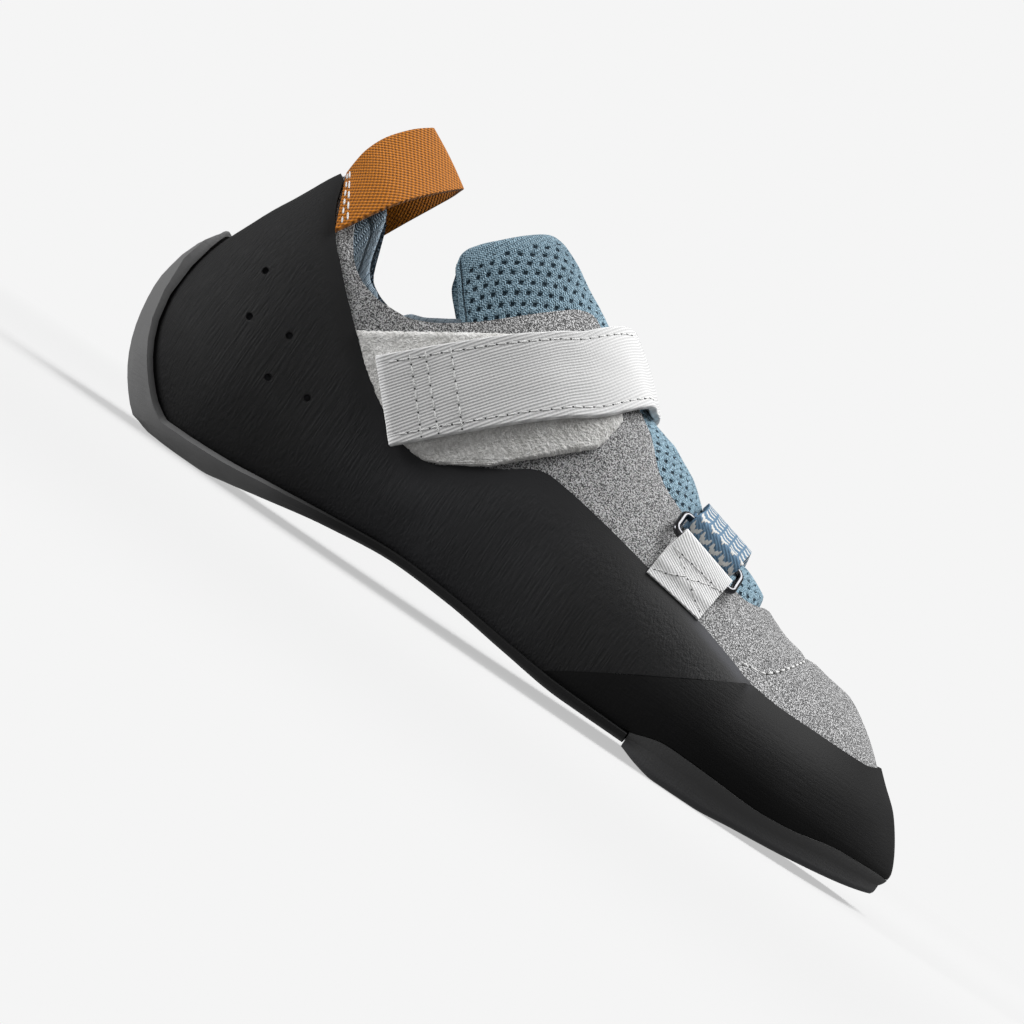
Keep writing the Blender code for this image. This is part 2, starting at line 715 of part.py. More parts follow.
def build_toe_rand():
    ribs = perimeter(station(SEAM_START) - 1e-6, 3.0, sorted(SIDE_STOPS + (SEAM_START, SEAM_STOP)))

    def low(hand, place):
        return rand_bottom(hand, place) + 0.02

    def high(hand, place):
        if place > station(SEAM_STOP) + 1e-6:
            return rand_top(hand, place)
        return max(low(hand, place) + 0.02, level_under(hand, place, SEAM_LINE) - 0.03)

    rows = rand_rows(ribs, low, high)
    solid = Solid()
    solid.grid(rows)
    piece = solid.finish("toe_rand", material("toe_rubber", 0.03, 0.03, 0.032, 0.6))
    outward(piece, (220.0, 8.0, 20.0))
    thicken(piece, RAND_THICK, 1.0, skive(piece, rows))


def level_point(hand, place, share, line, rise=0.0):
    """Point between the spine and the lower edge of a rib, at the height of a line there."""
    piece = rib(hand, place)
    reach = piece.foot * share
    x = piece.x + piece.way_x * reach
    return (x, piece.y + piece.way_y * reach, line(x) + rise)


def close_end(solid, lateral, medial):
    """Flat face across the end of a sole, between its two last ribs."""
    ring = list(lateral)
    ring += [point for point in reversed(medial)]
    solid.face(ring)


def build_heel_sole():
    ribs = perimeter(0.0, station(SOLE_SPLIT) - 0.02, LONG_STOPS)
    end = station(SOLE_SPLIT - 0.4)
    ribs = [(LATERAL, end)] + ribs + [(MEDIAL, end)]
    inside = CLEAR
    outside = RAND_THICK + 3.2 * CLEAR
    rows = []
    for hand, place in ribs:
        piece = rib(hand, place)
        floor = HEEL_FLOOR_LINE(piece.along)
        thin = mix(0.0, 1.0, min(1.0, max(0.0, (piece.along - 45.0) / 40.0)))
        wall = outside + mix(STRIP_THICK, 0.7, thin)
        lip = HEEL_RIM + LIP
        if place < 1.0:
            lip = max(lip, level_at_height(hand, place, STRIP_LINE(piece.angle)))
        climb = [mix(HEEL_RIM, lip, step) for step in STRIP_STEPS]
        row = [level_point(hand, place, part, FEATHER_LINE, -CLEAR) for part in (0.0, 0.6)]
        row += [lifted(hand, place, level, inside) for level in (0.0, 0.5 * HEEL_RIM, HEEL_RIM)]
        row += [lifted(hand, place, level, outside) for level in climb]
        row += [lifted(hand, place, level, wall) for level in reversed(climb)]
        corner = lifted(hand, place, 0.5 * HEEL_RIM, wall)
        row.append((corner[0], corner[1], max(corner[2], floor + 0.5)))
        row += [level_point(hand, place, part, HEEL_FLOOR_LINE) for part in (0.98, 0.55, 0.0)]
        rows.append(row)
    solid = Solid()
    solid.grid(rows)
    close_end(solid, rows[0], rows[-1])
    solid.finish("heel_sole", material("heel_rubber", 0.045, 0.045, 0.047, 0.55))


def build_fore_sole():
    start = station(SOLE_SPLIT)
    ribs = [pair for pair in perimeter(start, 3.0) if pair[1] > start + 0.01]
    ribs = [(LATERAL, start)] + ribs + [(MEDIAL, start)]
    wall = CLEAR + RAND_THICK + 0.1
    rows = []
    for hand, place in ribs:
        piece = rib(hand, place)
        floor = FORE_FLOOR_LINE(piece.along)
        rim = fore_level(hand, place)
        row = [level_point(hand, place, part, FEATHER_LINE, -CLEAR) for part in (0.0, 0.7)]
        row += [lifted(hand, place, level, CLEAR) for level in (0.0, 0.5 * rim, rim)]
        row += [lifted(hand, place, level, wall) for level in (rim, 0.5 * rim)]
        side = lifted(hand, place, 0.5 * rim, wall)
        inner = level_point(hand, place, 0.97, FORE_FLOOR_LINE)
        row.append((side[0], side[1], floor + 1.2))
        row.append((mix(side[0], inner[0], 0.35), mix(side[1], inner[1], 0.35), floor))
        row += [level_point(hand, place, part, FORE_FLOOR_LINE) for part in (0.6, 0.0)]
        rows.append(row)
    solid = Solid()
    solid.grid(rows)
    close_end(solid, rows[0], rows[-1])
    solid.finish("forefoot_sole", material("sole_rubber", 0.035, 0.035, 0.037, 0.6))


def build_insole():
    rows = []
    for hand, place in perimeter(stops=LONG_STOPS):
        piece = rib(hand, place)
        share = 1.0 - INSOLE_INSET / piece.foot
        row = [level_point(hand, place, part, FEATHER_LINE, INSOLE_THICK) for part in (0.0, 0.55, share)]
        row += [level_point(hand, place, part, FEATHER_LINE) for part in (share, 0.55, 0.0)]
        rows.append(row)
    solid = Solid()
    solid.grid(rows, around=True)
    solid.finish("insole", material("insole_board", 0.35, 0.32, 0.27, 0.9))


def throat_share(hand, along):
    """Share of girth from the crest to the edge of the throat."""
    if along >= THROAT_END:
        return 0.0
    return 2.0 - top_level(hand, station(along))


def tongue_lift(along, share):
    hand = MEDIAL if share > 0.0 else LATERAL
    edge = throat_share(hand, along)
    rise = 0.0
    if abs(share) < edge:
        rise = TONGUE_RISE(along) * (1.0 - (share / edge) ** 2) ** 0.7
    return rise - WALL - CLEAR - 0.4


def build_tongue():
    rows = []
    for part in TONGUE_ACROSS:
        start = TONGUE_START_LINE(abs(part))
        row = []
        for down in TONGUE_DOWN:
            along = mix(start, TONGUE_FRONT, down)
            share = part * TONGUE_HALF(along)
            row.append(lifted(*girth(along, share), tongue_lift(along, share)))
        rows.append(row)
    solid = Solid()
    solid.grid(rows)
    piece = solid.finish("tongue", material("tongue_mesh", 0.1, 0.22, 0.31, 0.9))
    outward(piece, (120.0, 0.0, 20.0))
    thicken(piece, TONGUE_THICK, -1.0)


def build_cuff():
    ribs = [pair for pair in perimeter(0.0, station(70.0) + 1e-6)]
    rows = []
    for hand, place in ribs:
        top = level_under(hand, place, lambda x: CUFF_LINE(x + CUFF_BACK[hand]), 1.0)
        edge = top_level(hand, place)
        low = level_at_height(hand, place, CUFF_BOTTOM)
        row = []
        for step in (0.0, 0.3, 0.55, 0.78, 1.0):
            inset = CUFF_INSET + max(0.0, 0.6 - 2.0 * step)
            row.append(lifted(hand, place, mix(low, edge, step), -inset))
        row.append(lifted(hand, place, max(top, edge + 0.015), -CUFF_INSET))
        rows.append(row)
    solid = Solid()
    solid.grid(rows)
    piece = solid.finish("heel_cuff", material("cuff_mesh", 0.1, 0.22, 0.31, 0.9))
    outward(piece, (60.0, 0.0, 60.0))
    thicken(piece, CUFF_THICK, -1.0)


def strap_side(run, across):
    """Side-view position in the strap's own directions on the lateral side."""
    turn = math.radians(STRAP_ANGLE)
    x = STRAP_TIP[0] + run * math.cos(turn) - across * math.sin(turn)
    z = STRAP_TIP[1] + run * math.sin(turn) + across * math.cos(turn)
    return x, z


def patch_start(across):
    """Where a line of the patch leaves the rand."""
    run = 40.0
    while run > -40.0:
        x, z = strap_side(run, across)
        if z < RAND_LINE(x) + 1.6:
            break
        run -= 0.4
    return run


def build_patch():
    rows = []
    for share in (0.0, 0.12, 0.3, 0.5, 0.7, 0.88, 1.0):
        across = mix(PATCH_BOTTOM, PATCH_TOP, share)
        begin = patch_start(across)
        end = PATCH_END - 9.0 * abs(2.0 * share - 1.0) ** 4
        row = []
        for down in (0.0, 0.11, 0.22, 0.33, 0.44, 0.56, 0.67, 0.78, 0.89, 1.0):
            run = mix(begin, end, down)
            top = PATCH_TOP - PATCH_TAPER * (run + 4.4)
            x, z = strap_side(run, mix(PATCH_BOTTOM, top, share))
            z = max(z, RAND_LINE(x) + 1.2)
            place, level = on_side(LATERAL, x, z)
            row.append(lifted(LATERAL, place, level, 1.5 * CLEAR))
        rows.append(row)
    solid = Solid()
    solid.grid(rows)
    piece = solid.finish("fleece_patch", material("fleece", 0.5, 0.49, 0.47, 0.95))
    outward(piece, (110.0, 0.0, 40.0))
    thicken(piece, PATCH_THICK, 1.0)


def share_at(along, z):
    """Signed share of girth of a lateral point seen at a height."""
    return -(2.0 - level_at_height(LATERAL, station(along), z))


def path_points(stops, steps):
    """Smooth open run through (along, share) stops."""
    ends = [stops[0]] + list(stops) + [stops[-1]]
    run = []
    for i in range(len(stops) - 1):
        a, b, c, d = ends[i:i + 4]
        for k in range(steps):
            t = k / steps
            spot = []
            for axis in range(2):
                bend = (2.0 * b[axis] + (c[axis] - a[axis]) * t
                        + (2.0 * a[axis] - 5.0 * b[axis] + 4.0 * c[axis] - d[axis]) * t * t
                        + (3.0 * b[axis] - a[axis] - 3.0 * c[axis] + d[axis]) * t ** 3)
                spot.append(0.5 * bend)
            run.append(tuple(spot))
    run.append(tuple(stops[-1]))
    return run


def across_row(along, share, way, width, lift, columns):
    """Points of a band's row, walked over the skin to both sides of its middle."""
    row = []
    for part in columns:
        spot = step_on_skin(along, share, way, part * width)
        row.append(lifted(*girth(*spot), lift))
    return row


def strap_lift(share):
    """Clear of the patch on the lateral side and close to the suede on the medial side."""
    over_patch = 3.0 * CLEAR + PATCH_THICK
    if share < 0.05:
        return over_patch
    return mix(over_patch, 1.2, min(1.0, (share - 0.05) / 0.4))


def build_strap():
    stops = []
    for run in STRAP_LINE:
        x, z = strap_side(run, 0.0)
        stops.append((x, share_at(x, z)))
    stops += STRAP_OVER
    run = path_points(stops, 2)
    rows = []
    for i, (along, share) in enumerate(run):
        before = run[max(i - 1, 0)]
        after = run[min(i + 1, len(run) - 1)]
        tangent = unit(add(skin(*girth(*after)), skin(*girth(*before)), -1.0))
        way = unit(cross(tangent, normal(*girth(along, share))))
        rows.append(across_row(along, share, way, STRAP_WIDTH, strap_lift(share), ACROSS))
    solid = Solid()
    solid.grid(rows)
    piece = solid.finish("closure_strap", material("strap_web", 0.62, 0.62, 0.61, 0.85))
    outward(piece, (115.0, 0.0, 40.0))
    thicken(piece, STRAP_THICK, 1.0)


def lie(out):
    """Direction along the ring, square to a direction and at a fixed slope seen from the side."""
    return unit((1.0, -(out[0] + RING_SLOPE * out[2]) / out[1], RING_SLOPE))


def ring_frame():
    """Middle of the ring and its three directions: along it, up the foot, and away from the foot."""
    place, level = on_side(LATERAL, *RING_AT)
    middle = skin(LATERAL, place, level)
    out = normal(LATERAL, place, level)
    along = lie(out)
    rise = cross(out, along)
    if rise[2] < 0.0:
        rise = tuple(-value for value in rise)
    return add(middle, out, RING_LIFT), along, rise, out


def build_ring():
    middle, along, rise, out = ring_frame()
    half = 0.5 * RING_LONG - RING_WIRE
    short = 0.5 * RING_SHORT - RING_WIRE
    curve = bpy.data.curves.new("ring", "CURVE")
    curve.dimensions = "3D"
    curve.bevel_depth = RING_WIRE * MM
    curve.bevel_resolution = 1
    spline = curve.splines.new("POLY")
    spline.use_cyclic_u = True
    points = []
    for side in (-1.0, 1.0):
        for k in range(5):
            turn = side * math.pi / 4.0 + math.pi / 2.0 * (k / 4.0 - 0.5)
            points.append((half - RING_CORNER * (1.0 - math.cos(turn)),
                           side * (short - RING_CORNER) + RING_CORNER * math.sin(turn)))
    points += [(-p, -q) for p, q in points]
    spline.points.add(len(points) - 1)
    for knot, (p, q) in zip(spline.points, points):
        spot = add(add(middle, along, p), rise, q)
        knot.co = ((spot[0] - MIDDLE_X) * MM, (spot[1] - MIDDLE_Y) * MM, spot[2] * MM, 1.0)
    curve.materials.append(material("ring_metal", 0.05, 0.05, 0.055, 0.25, 1.0))
    piece = bpy.data.objects.new("ring", curve)
    COLLECTION.objects.link(piece)


def folded_rows(spots, width, columns):
    """Rows of a folded band from (along, share, lift) spots, kept in line with the ring."""
    _, way, _, _ = ring_frame()
    rows = []
    for along, share, lift in spots:
        out = normal(*girth(along, share))
        flat = unit(add(way, out, -dot(way, out)))
        rows.append(across_row(along, share, flat, width, lift, columns))
    return rows


def ring_walk(distance):
    """Along and share at a distance up the foot from the ring's middle."""
    place, level = on_side(LATERAL, *RING_AT)
    _, _, rise, _ = ring_frame()
    return step_on_skin(RING_AT[0], -(2.0 - level), rise, distance)


def fold_rows(bar, sign, width, columns):
    """Half turn of a band round one bar of the ring."""
    middle, along, rise, out = ring_frame()
    rows = []
    for k in range(7):
        turn = math.pi * k / 6.0
        spot = add(middle, rise, bar + sign * FOLD_RADIUS * math.sin(turn))
        spot = add(spot, out, -FOLD_RADIUS * math.cos(turn))
        rows.append([add(spot, along, part * width) for part in columns])
    return rows


def walk_rows(stops, width):
    """Rows of a band on the skin at (distance from the ring's middle, lift) stops."""
    spots = []
    for distance, lift in stops:
        spot = ring_walk(distance)
        spots.append((spot[0], spot[1], lift))
    return folded_rows(spots, width, ACROSS)


def build_tab():
    rows = walk_rows(TAB_UNDER, TAB_WIDTH)
    rows += fold_rows(-BAR, 1.0, TAB_WIDTH, ACROSS)
    rows += walk_rows(TAB_OVER, TAB_WIDTH)
    solid = Solid()
    solid.grid(rows)
    piece = solid.finish("ring_tab", material("tab_web", 0.6, 0.6, 0.6, 0.85))
    thicken(piece, WEB_THICK, 0.0)


def over_row(stop):
    """Straight row of the band between its two edges."""
    back = lifted(*girth(stop.back, stop.share), stop.back_lift)
    front = lifted(*girth(stop.front, stop.share), stop.front_lift)
    way = add(front, back, -1.0)
    return [add(back, way, part + 0.5) for part in ACROSS]


def build_band():
    rows = walk_rows(BAND_UNDER, BAND_WIDTH)
    rows += fold_rows(BAR, -1.0, BAND_WIDTH, ACROSS)
    rows += [over_row(stop) for stop in BAND_OVER]
    solid = Solid()
    solid.grid(rows)
    piece = solid.finish("cross_band", material("band_web", 0.12, 0.21, 0.3, 0.85))
    thicken(piece, WEB_THICK, 0.0)


def build_pull_loop():
    place, level = on_side(LATERAL, *LOOP_BASE_UPPER)
    upper = lifted(LATERAL, place, level, 2.0 * CLEAR + 0.5 * LOOP_THICK + 0.3)
    place, level = on_side(LATERAL, *LOOP_BASE_LOWER)
    lower = lifted(LATERAL, place, level, 2.0 * CLEAR + 0.5 * LOOP_THICK + 0.3)
    half = [(upper, lower)]
    for row in LOOP:
        half.append(((row.upper_x, row.upper_y, row.upper_z), (row.lower_x, row.lower_y, row.lower_z)))
    mirrored = []
    for upper, lower in reversed(half[:-1]):
        mirrored.append(((upper[0], -upper[1], upper[2]), (lower[0], -lower[1], lower[2])))
    rows = []
    for upper, lower in half + mirrored:
        way = add(lower, upper, -1.0)
        rows.append([add(upper, way, part) for part in (0.0, 0.33, 0.67, 1.0)])
    solid = Solid()
    solid.grid(rows)
    piece = solid.finish("pull_loop", material("loop_web", 0.55, 0.22, 0.04, 0.85))
    thicken(piece, LOOP_THICK, 0.0)


for old in list(bpy.data.objects):
    bpy.data.objects.remove(old)

COLLECTION = bpy.data.collections.new("climbing_shoe")
bpy.context.scene.collection.children.link(COLLECTION)

build_upper()
build_heel_sole()
build_fore_sole()
build_insole()
build_tongue()
build_heel_rand()
build_toe_rand()
build_cuff()
build_patch()
build_strap()
build_tab()
build_ring()
build_band()
build_pull_loop()
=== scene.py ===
"""Looks of a right climbing shoe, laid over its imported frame.

Sizes are millimetres in the shoe's own frame until a mesh is made: x runs from
the back of the heel to the toe, y from the lateral to the medial side, z up
from the floor. Every piece on the foot is taken from one skin, the last.
"""
from __future__ import annotations

import logging
import math
from contextlib import contextmanager
from dataclasses import dataclass, field
from enum import IntEnum
from functools import partial, reduce
from itertools import starmap
from typing import Callable, Iterator, NamedTuple, Sequence

import bpy
import numpy as np
from mathutils import Matrix, Vector

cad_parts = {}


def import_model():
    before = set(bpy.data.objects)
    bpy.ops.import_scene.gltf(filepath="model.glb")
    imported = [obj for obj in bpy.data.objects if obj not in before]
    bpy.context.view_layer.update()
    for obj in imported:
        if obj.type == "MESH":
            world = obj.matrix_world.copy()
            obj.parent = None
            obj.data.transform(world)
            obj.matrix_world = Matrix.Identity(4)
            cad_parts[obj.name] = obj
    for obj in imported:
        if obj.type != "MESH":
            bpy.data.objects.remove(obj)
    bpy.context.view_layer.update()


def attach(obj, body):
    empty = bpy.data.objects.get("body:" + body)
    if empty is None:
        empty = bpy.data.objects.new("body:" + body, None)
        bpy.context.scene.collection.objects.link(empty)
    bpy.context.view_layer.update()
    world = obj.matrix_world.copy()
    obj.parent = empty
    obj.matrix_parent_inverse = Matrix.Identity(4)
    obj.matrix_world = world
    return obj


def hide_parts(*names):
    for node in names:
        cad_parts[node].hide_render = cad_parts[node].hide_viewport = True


LOG = logging.getLogger("climbing_shoe")
MM = 0.001
MIDDLE = np.array([131.75, -0.60, 0.0])
BODY = "root"
FULL = "Full"

# Millimetres, but for what is said to be something else.
FLAT_UNIT = 100.0  # millimetres to one unit of a cloth's flat map
MERGE = 2e-6  # metres within which two points become one
NO_EDGE = 20.0  # the edge mask where no edge is skived
WALL = 2.0
CLEAR = 0.4
RAND_THICK = 1.8
STRIP_THICK = 2.2
INSOLE_THICK = 2.5
INSOLE_INSET = 3.2
TONGUE_THICK = 3.6
CUFF_THICK = 3.0
CUFF_INSET = WALL + 3.0 * CLEAR
CUFF_BOTTOM = 54.0
PATCH_THICK = 1.5
STRAP_THICK = 2.2
STRAP_WIDTH = 25.0
WEB_THICK = 1.4
BAND_THICK = 2.0
TAB_WIDTH = 18.8
BAND_WIDTH = 18.4
LOOP_THICK = 1.5
HOLE_WIDE = 5.9
HOLE_TALL = 3.7
HOLE_SHIFTS = (0.0, 0.5)  # shares of a pitch
HOLE_ALONG = 1.15  # how much a step along a diamond counts
HOLE_ACROSS = 0.9  # how much a step across it counts
HEEL_RIM = 0.22  # levels of a rib, as LIP is
LIP = 0.10
SOLE_SPLIT = 180.9
THROAT_TURN = 183.0
THROAT_END = 193.0
SEAM_STOP = 200.4

Array = np.ndarray
Piece = bpy.types.Object
Socket = bpy.types.NodeSocket
Colour = tuple[float, float, float]
Spot = tuple[float, float, float]
Pairs = tuple[tuple[float, float], ...]
Line = Callable[[Array], Array]
Level = Callable[["Side", float], float]
Ribs = list[tuple["Side", float]]


class Side(IntEnum):
    """The two sides of the shoe, with the sign of y on each."""

    LATERAL = -1
    MEDIAL = 1


class Curve:
    """Smooth curve through the rows of a table that never overshoots them."""

    def __init__(self, rows: Sequence[tuple[float, float]]) -> None:
        """Work out the tangents.

        Args:
            rows: pairs of place and value, sorted by place.
        """
        self.x = np.array([row[0] for row in rows], float)
        self.y = np.array([row[1] for row in rows], float)
        slope = np.diff(self.y) / np.diff(self.x)
        self.tangent = np.concatenate([slope[:1], np.zeros(len(rows) - 2), slope[-1:]])
        product = slope[:-1] * slope[1:]
        total = np.where(product > 0.0, slope[:-1] + slope[1:], 1.0)
        self.tangent[1:-1] = np.where(product > 0.0, 2.0 * product / total, 0.0)

    def __call__(self, at: Array | float) -> Array:
        """Read the curve.

        Args:
            at: one place or many.

        Returns:
            The value at each place.
        """
        at = np.clip(at, self.x[0], self.x[-1])
        i = np.clip(np.searchsorted(self.x, at, side="right") - 1, 0, len(self.x) - 2)
        step = self.x[i + 1] - self.x[i]
        t = (at - self.x[i]) / step
        leave = (1.0 + 2.0 * t) * (1.0 - t) ** 2 * self.y[i] + t * (1.0 - t) ** 2 * step * self.tangent[i]
        arrive = t * t * (3.0 - 2.0 * t) * self.y[i + 1] + t * t * (t - 1.0) * step * self.tangent[i + 1]
        return leave + arrive


def spline(points: Array, steps: int, closed: bool = False) -> Array:
    """Smooth run through points or through whole rows of points.

    Args:
        points: array whose first axis is the order of the points.
        steps: spaces between two neighbours in the result.
        closed: whether the last point joins the first.

    Returns:
        The denser array, its ends kept.
    """
    points = np.asarray(points, float)
    count = len(points)
    spans = count if closed else count - 1
    made = []
    for i in range(spans):
        near = np.arange(i - 1, i + 3)
        a, b, c, d = points[near % count if closed else np.clip(near, 0, count - 1)]
        for k in range(steps):
            t = k / steps
            made.append(0.5 * (2.0 * b + (c - a) * t + (2.0 * a - 5.0 * b + 4.0 * c - d) * t * t
                               + (3.0 * b - a - 3.0 * c + d) * t ** 3))
    if not closed:
        made.append(points[-1])
    return np.array(made)


def unit(vector: Array) -> Array:
    """Vectors of length one, in the same directions."""
    size = np.linalg.norm(vector, axis=-1, keepdims=True)
    return vector / np.maximum(size, 1e-9)


def ease(value: Array | float, low: float, high: float) -> Array:
    """Soft step from 0 at low to 1 at high."""
    t = np.clip((np.asarray(value, float) - low) / (high - low), 0.0, 1.0)
    return t * t * (3.0 - 2.0 * t)


def ripple(points: Array, length: float, seed: float) -> Array:
    """Gentle unevenness from -1 to 1 that repeats on no visible length.

    Args:
        points: places in millimetres, three to a row.
        length: about how far one swell reaches.
        seed: shifts the swells.

    Returns:
        One value for each place.
    """
    x, y, z = (points[..., k] / length * 2.0 * math.pi for k in range(3))
    first = np.sin(x + 0.6 * z + seed) * np.sin(0.8 * z - 0.5 * x + 1.7 * seed)
    second = np.sin(1.9 * x - 1.3 * y + 2.3 * seed) * np.sin(1.6 * z + 0.9 * y + 0.4 * seed)
    return 0.65 * first + 0.35 * second


def bell(value: Array, middle: float, width: float) -> Array:
    """Soft bump of height one about a middle."""
    return np.exp(-((value - middle) / width) ** 2)


def hollow(points: Array) -> Array:
    """How far the back of the heel draws in under the collar."""
    return 1.1 * bell(points[..., 2], 80.0, 9.0) * ease(points[..., 0], 42.0, 28.0)


class Plan(NamedTuple):
    """Widest outline of the skin from above."""

    along: float
    lateral: float
    medial: float


class Section(NamedTuple):
    """Cross section of the skin."""

    along: float
    tuck_lateral: float
    tuck_medial: float
    bulge: float
    crest: float
    spine: float
    round_lateral: float
    round_medial: float


class Rib(NamedTuple):
    """One rib of the skin, upright in a plane of its own."""

    x: float
    y: float
    way_x: float
    way_y: float
    foot: float
    reach: float
    feather: float
    bulge: float
    crest: float
    bend: float
    along: float
    angle: float


PLAN = tuple(starmap(Plan, (
    (8.5, -13.5, 13.5), (17.0, -22.0, 22.0), (36.0, -28.8, 28.8), (60.0, -30.0, 29.0),
    (85.0, -31.5, 27.8), (110.0, -34.0, 27.8), (130.0, -37.2, 30.5), (150.0, -41.0, 35.0),
    (170.0, -43.4, 39.8), (188.0, -43.5, 42.2), (205.0, -41.0, 42.4), (222.0, -35.0, 40.6),
    (236.0, -25.5, 37.8), (248.0, -12.5, 34.0), (256.6, 1.0, 28.3),
)))
SECTIONS = tuple(starmap(Section, (
    (36.0, 9.5, 9.5, 29.0, 98.6, 0.0, 2.30, 2.30),
    (50.0, 8.5, 9.5, 28.0, 106.6, 0.0, 2.30, 2.30),
    (70.0, 8.0, 11.0, 27.0, 111.6, 0.0, 2.20, 2.20),
    (86.0, 7.5, 12.0, 27.5, 111.6, 0.5, 2.10, 2.15),
    (105.0, 7.0, 12.0, 28.0, 103.1, 1.0, 1.95, 2.05),
    (125.0, 6.0, 11.0, 26.0, 91.4, 2.0, 1.88, 2.00),
    (145.0, 5.0, 9.0, 23.0, 80.0, 3.5, 1.84, 2.00),
    (165.0, 4.2, 6.0, 20.5, 68.6, 5.0, 1.80, 2.00),
    (185.0, 3.4, 4.0, 18.0, 59.4, 6.5, 1.78, 2.00),
    (205.0, 3.0, 3.2, 16.0, 51.8, 7.5, 1.72, 1.95),
    (224.0, 2.8, 2.8, 14.5, 49.0, 8.0, 1.62, 1.85),
)))
FEATHER = Curve((
    (36.0, 5.3), (48.0, 6.0), (60.0, 7.6), (80.0, 10.0), (102.0, 11.7), (120.0, 10.9), (140.0, 8.8),
    (160.0, 7.2), (181.0, 7.0), (193.0, 5.6), (205.0, 5.6), (217.0, 6.2), (235.0, 7.4),
    (251.0, 8.8), (264.0, 10.6)))
HEEL_FLOOR = Curve((
    (24.0, 0.0), (42.0, 0.0), (50.0, 1.2), (60.0, 3.1), (80.0, 6.7), (102.0, 8.9), (120.0, 8.1),
    (140.0, 5.9), (160.0, 4.0), (180.0, 3.9)))
FORE_FLOOR = Curve((
    (181.0, 3.0), (187.0, 1.1), (193.0, 0.0), (205.0, 0.0), (217.0, 1.1), (235.0, 2.5),
    (251.0, 4.1), (264.0, 6.1)))
FORE_EDGE = Curve((
    (181.0, 8.4), (191.0, 10.4), (200.0, 10.2), (219.0, 9.4), (229.0, 10.0), (245.0, 12.3),
    (255.0, 12.4), (264.0, 11.9)))
HEEL_STRIP = Curve((
    (0.0, 57.2), (12.0, 56.8), (20.0, 55.0), (25.0, 50.0), (29.0, 41.0), (33.0, 32.0), (39.0, 23.5),
    (48.0, 16.0), (60.0, 10.5), (75.0, 7.8), (90.0, 7.0)))
RAND_TOP = Curve((
    (27.0, 90.0), (29.4, 88.5), (32.0, 82.5), (37.8, 74.1), (43.8, 68.3), (50.9, 61.6),
    (57.7, 55.7), (63.5, 50.7), (71.5, 44.8), (80.7, 39.8), (87.3, 37.0), (91.5, 36.5),
    (95.7, 37.2), (103.6, 41.7), (113.3, 47.0), (120.0, 51.4), (124.0, 52.3), (129.3, 51.8),
    (143.0, 49.6), (159.3, 46.2), (177.7, 42.1), (191.6, 38.1), (201.4, 35.3), (212.8, 34.4),
    (226.0, 34.4), (238.0, 34.6), (244.0, 36.2)))
COLLAR = Curve((
    (27.0, 92.6), (31.0, 91.4), (36.0, 86.0), (41.5, 77.0), (47.2, 70.4), (52.9, 67.4),
    (59.0, 66.3), (65.6, 66.5), (71.2, 68.2), (78.8, 72.7), (84.8, 77.5), (92.9, 85.2),
    (101.0, 92.9), (104.0, 95.4), (107.8, 96.4), (110.7, 95.2), (123.0, 87.8), (135.4, 80.3),
    (138.9, 78.2), (142.3, 75.2), (146.1, 71.3), (151.0, 67.9), (157.4, 65.2), (170.0, 60.2),
    (182.9, 55.2), (187.0, 55.4)))
CUFF_TOP = Curve((
    (27.0, 93.6), (36.0, 93.2), (43.0, 92.0), (46.3, 89.0), (48.6, 82.6), (52.2, 73.0),
    (55.7, 69.6), (60.8, 68.2), (69.5, 70.0), (74.0, 72.6), (79.0, 75.9), (84.0, 78.9)))
CUFF_BACK = {Side.LATERAL: 2.2, Side.MEDIAL: 5.8}
CUFF_FRONT = 80.0
SEAM = Curve((
    (151.4, 8.4), (156.1, 11.0), (165.4, 16.4), (179.8, 24.2), (189.5, 29.4), (200.2, 35.1),
    (204.0, 37.1)))
SEAM_START = 152.0


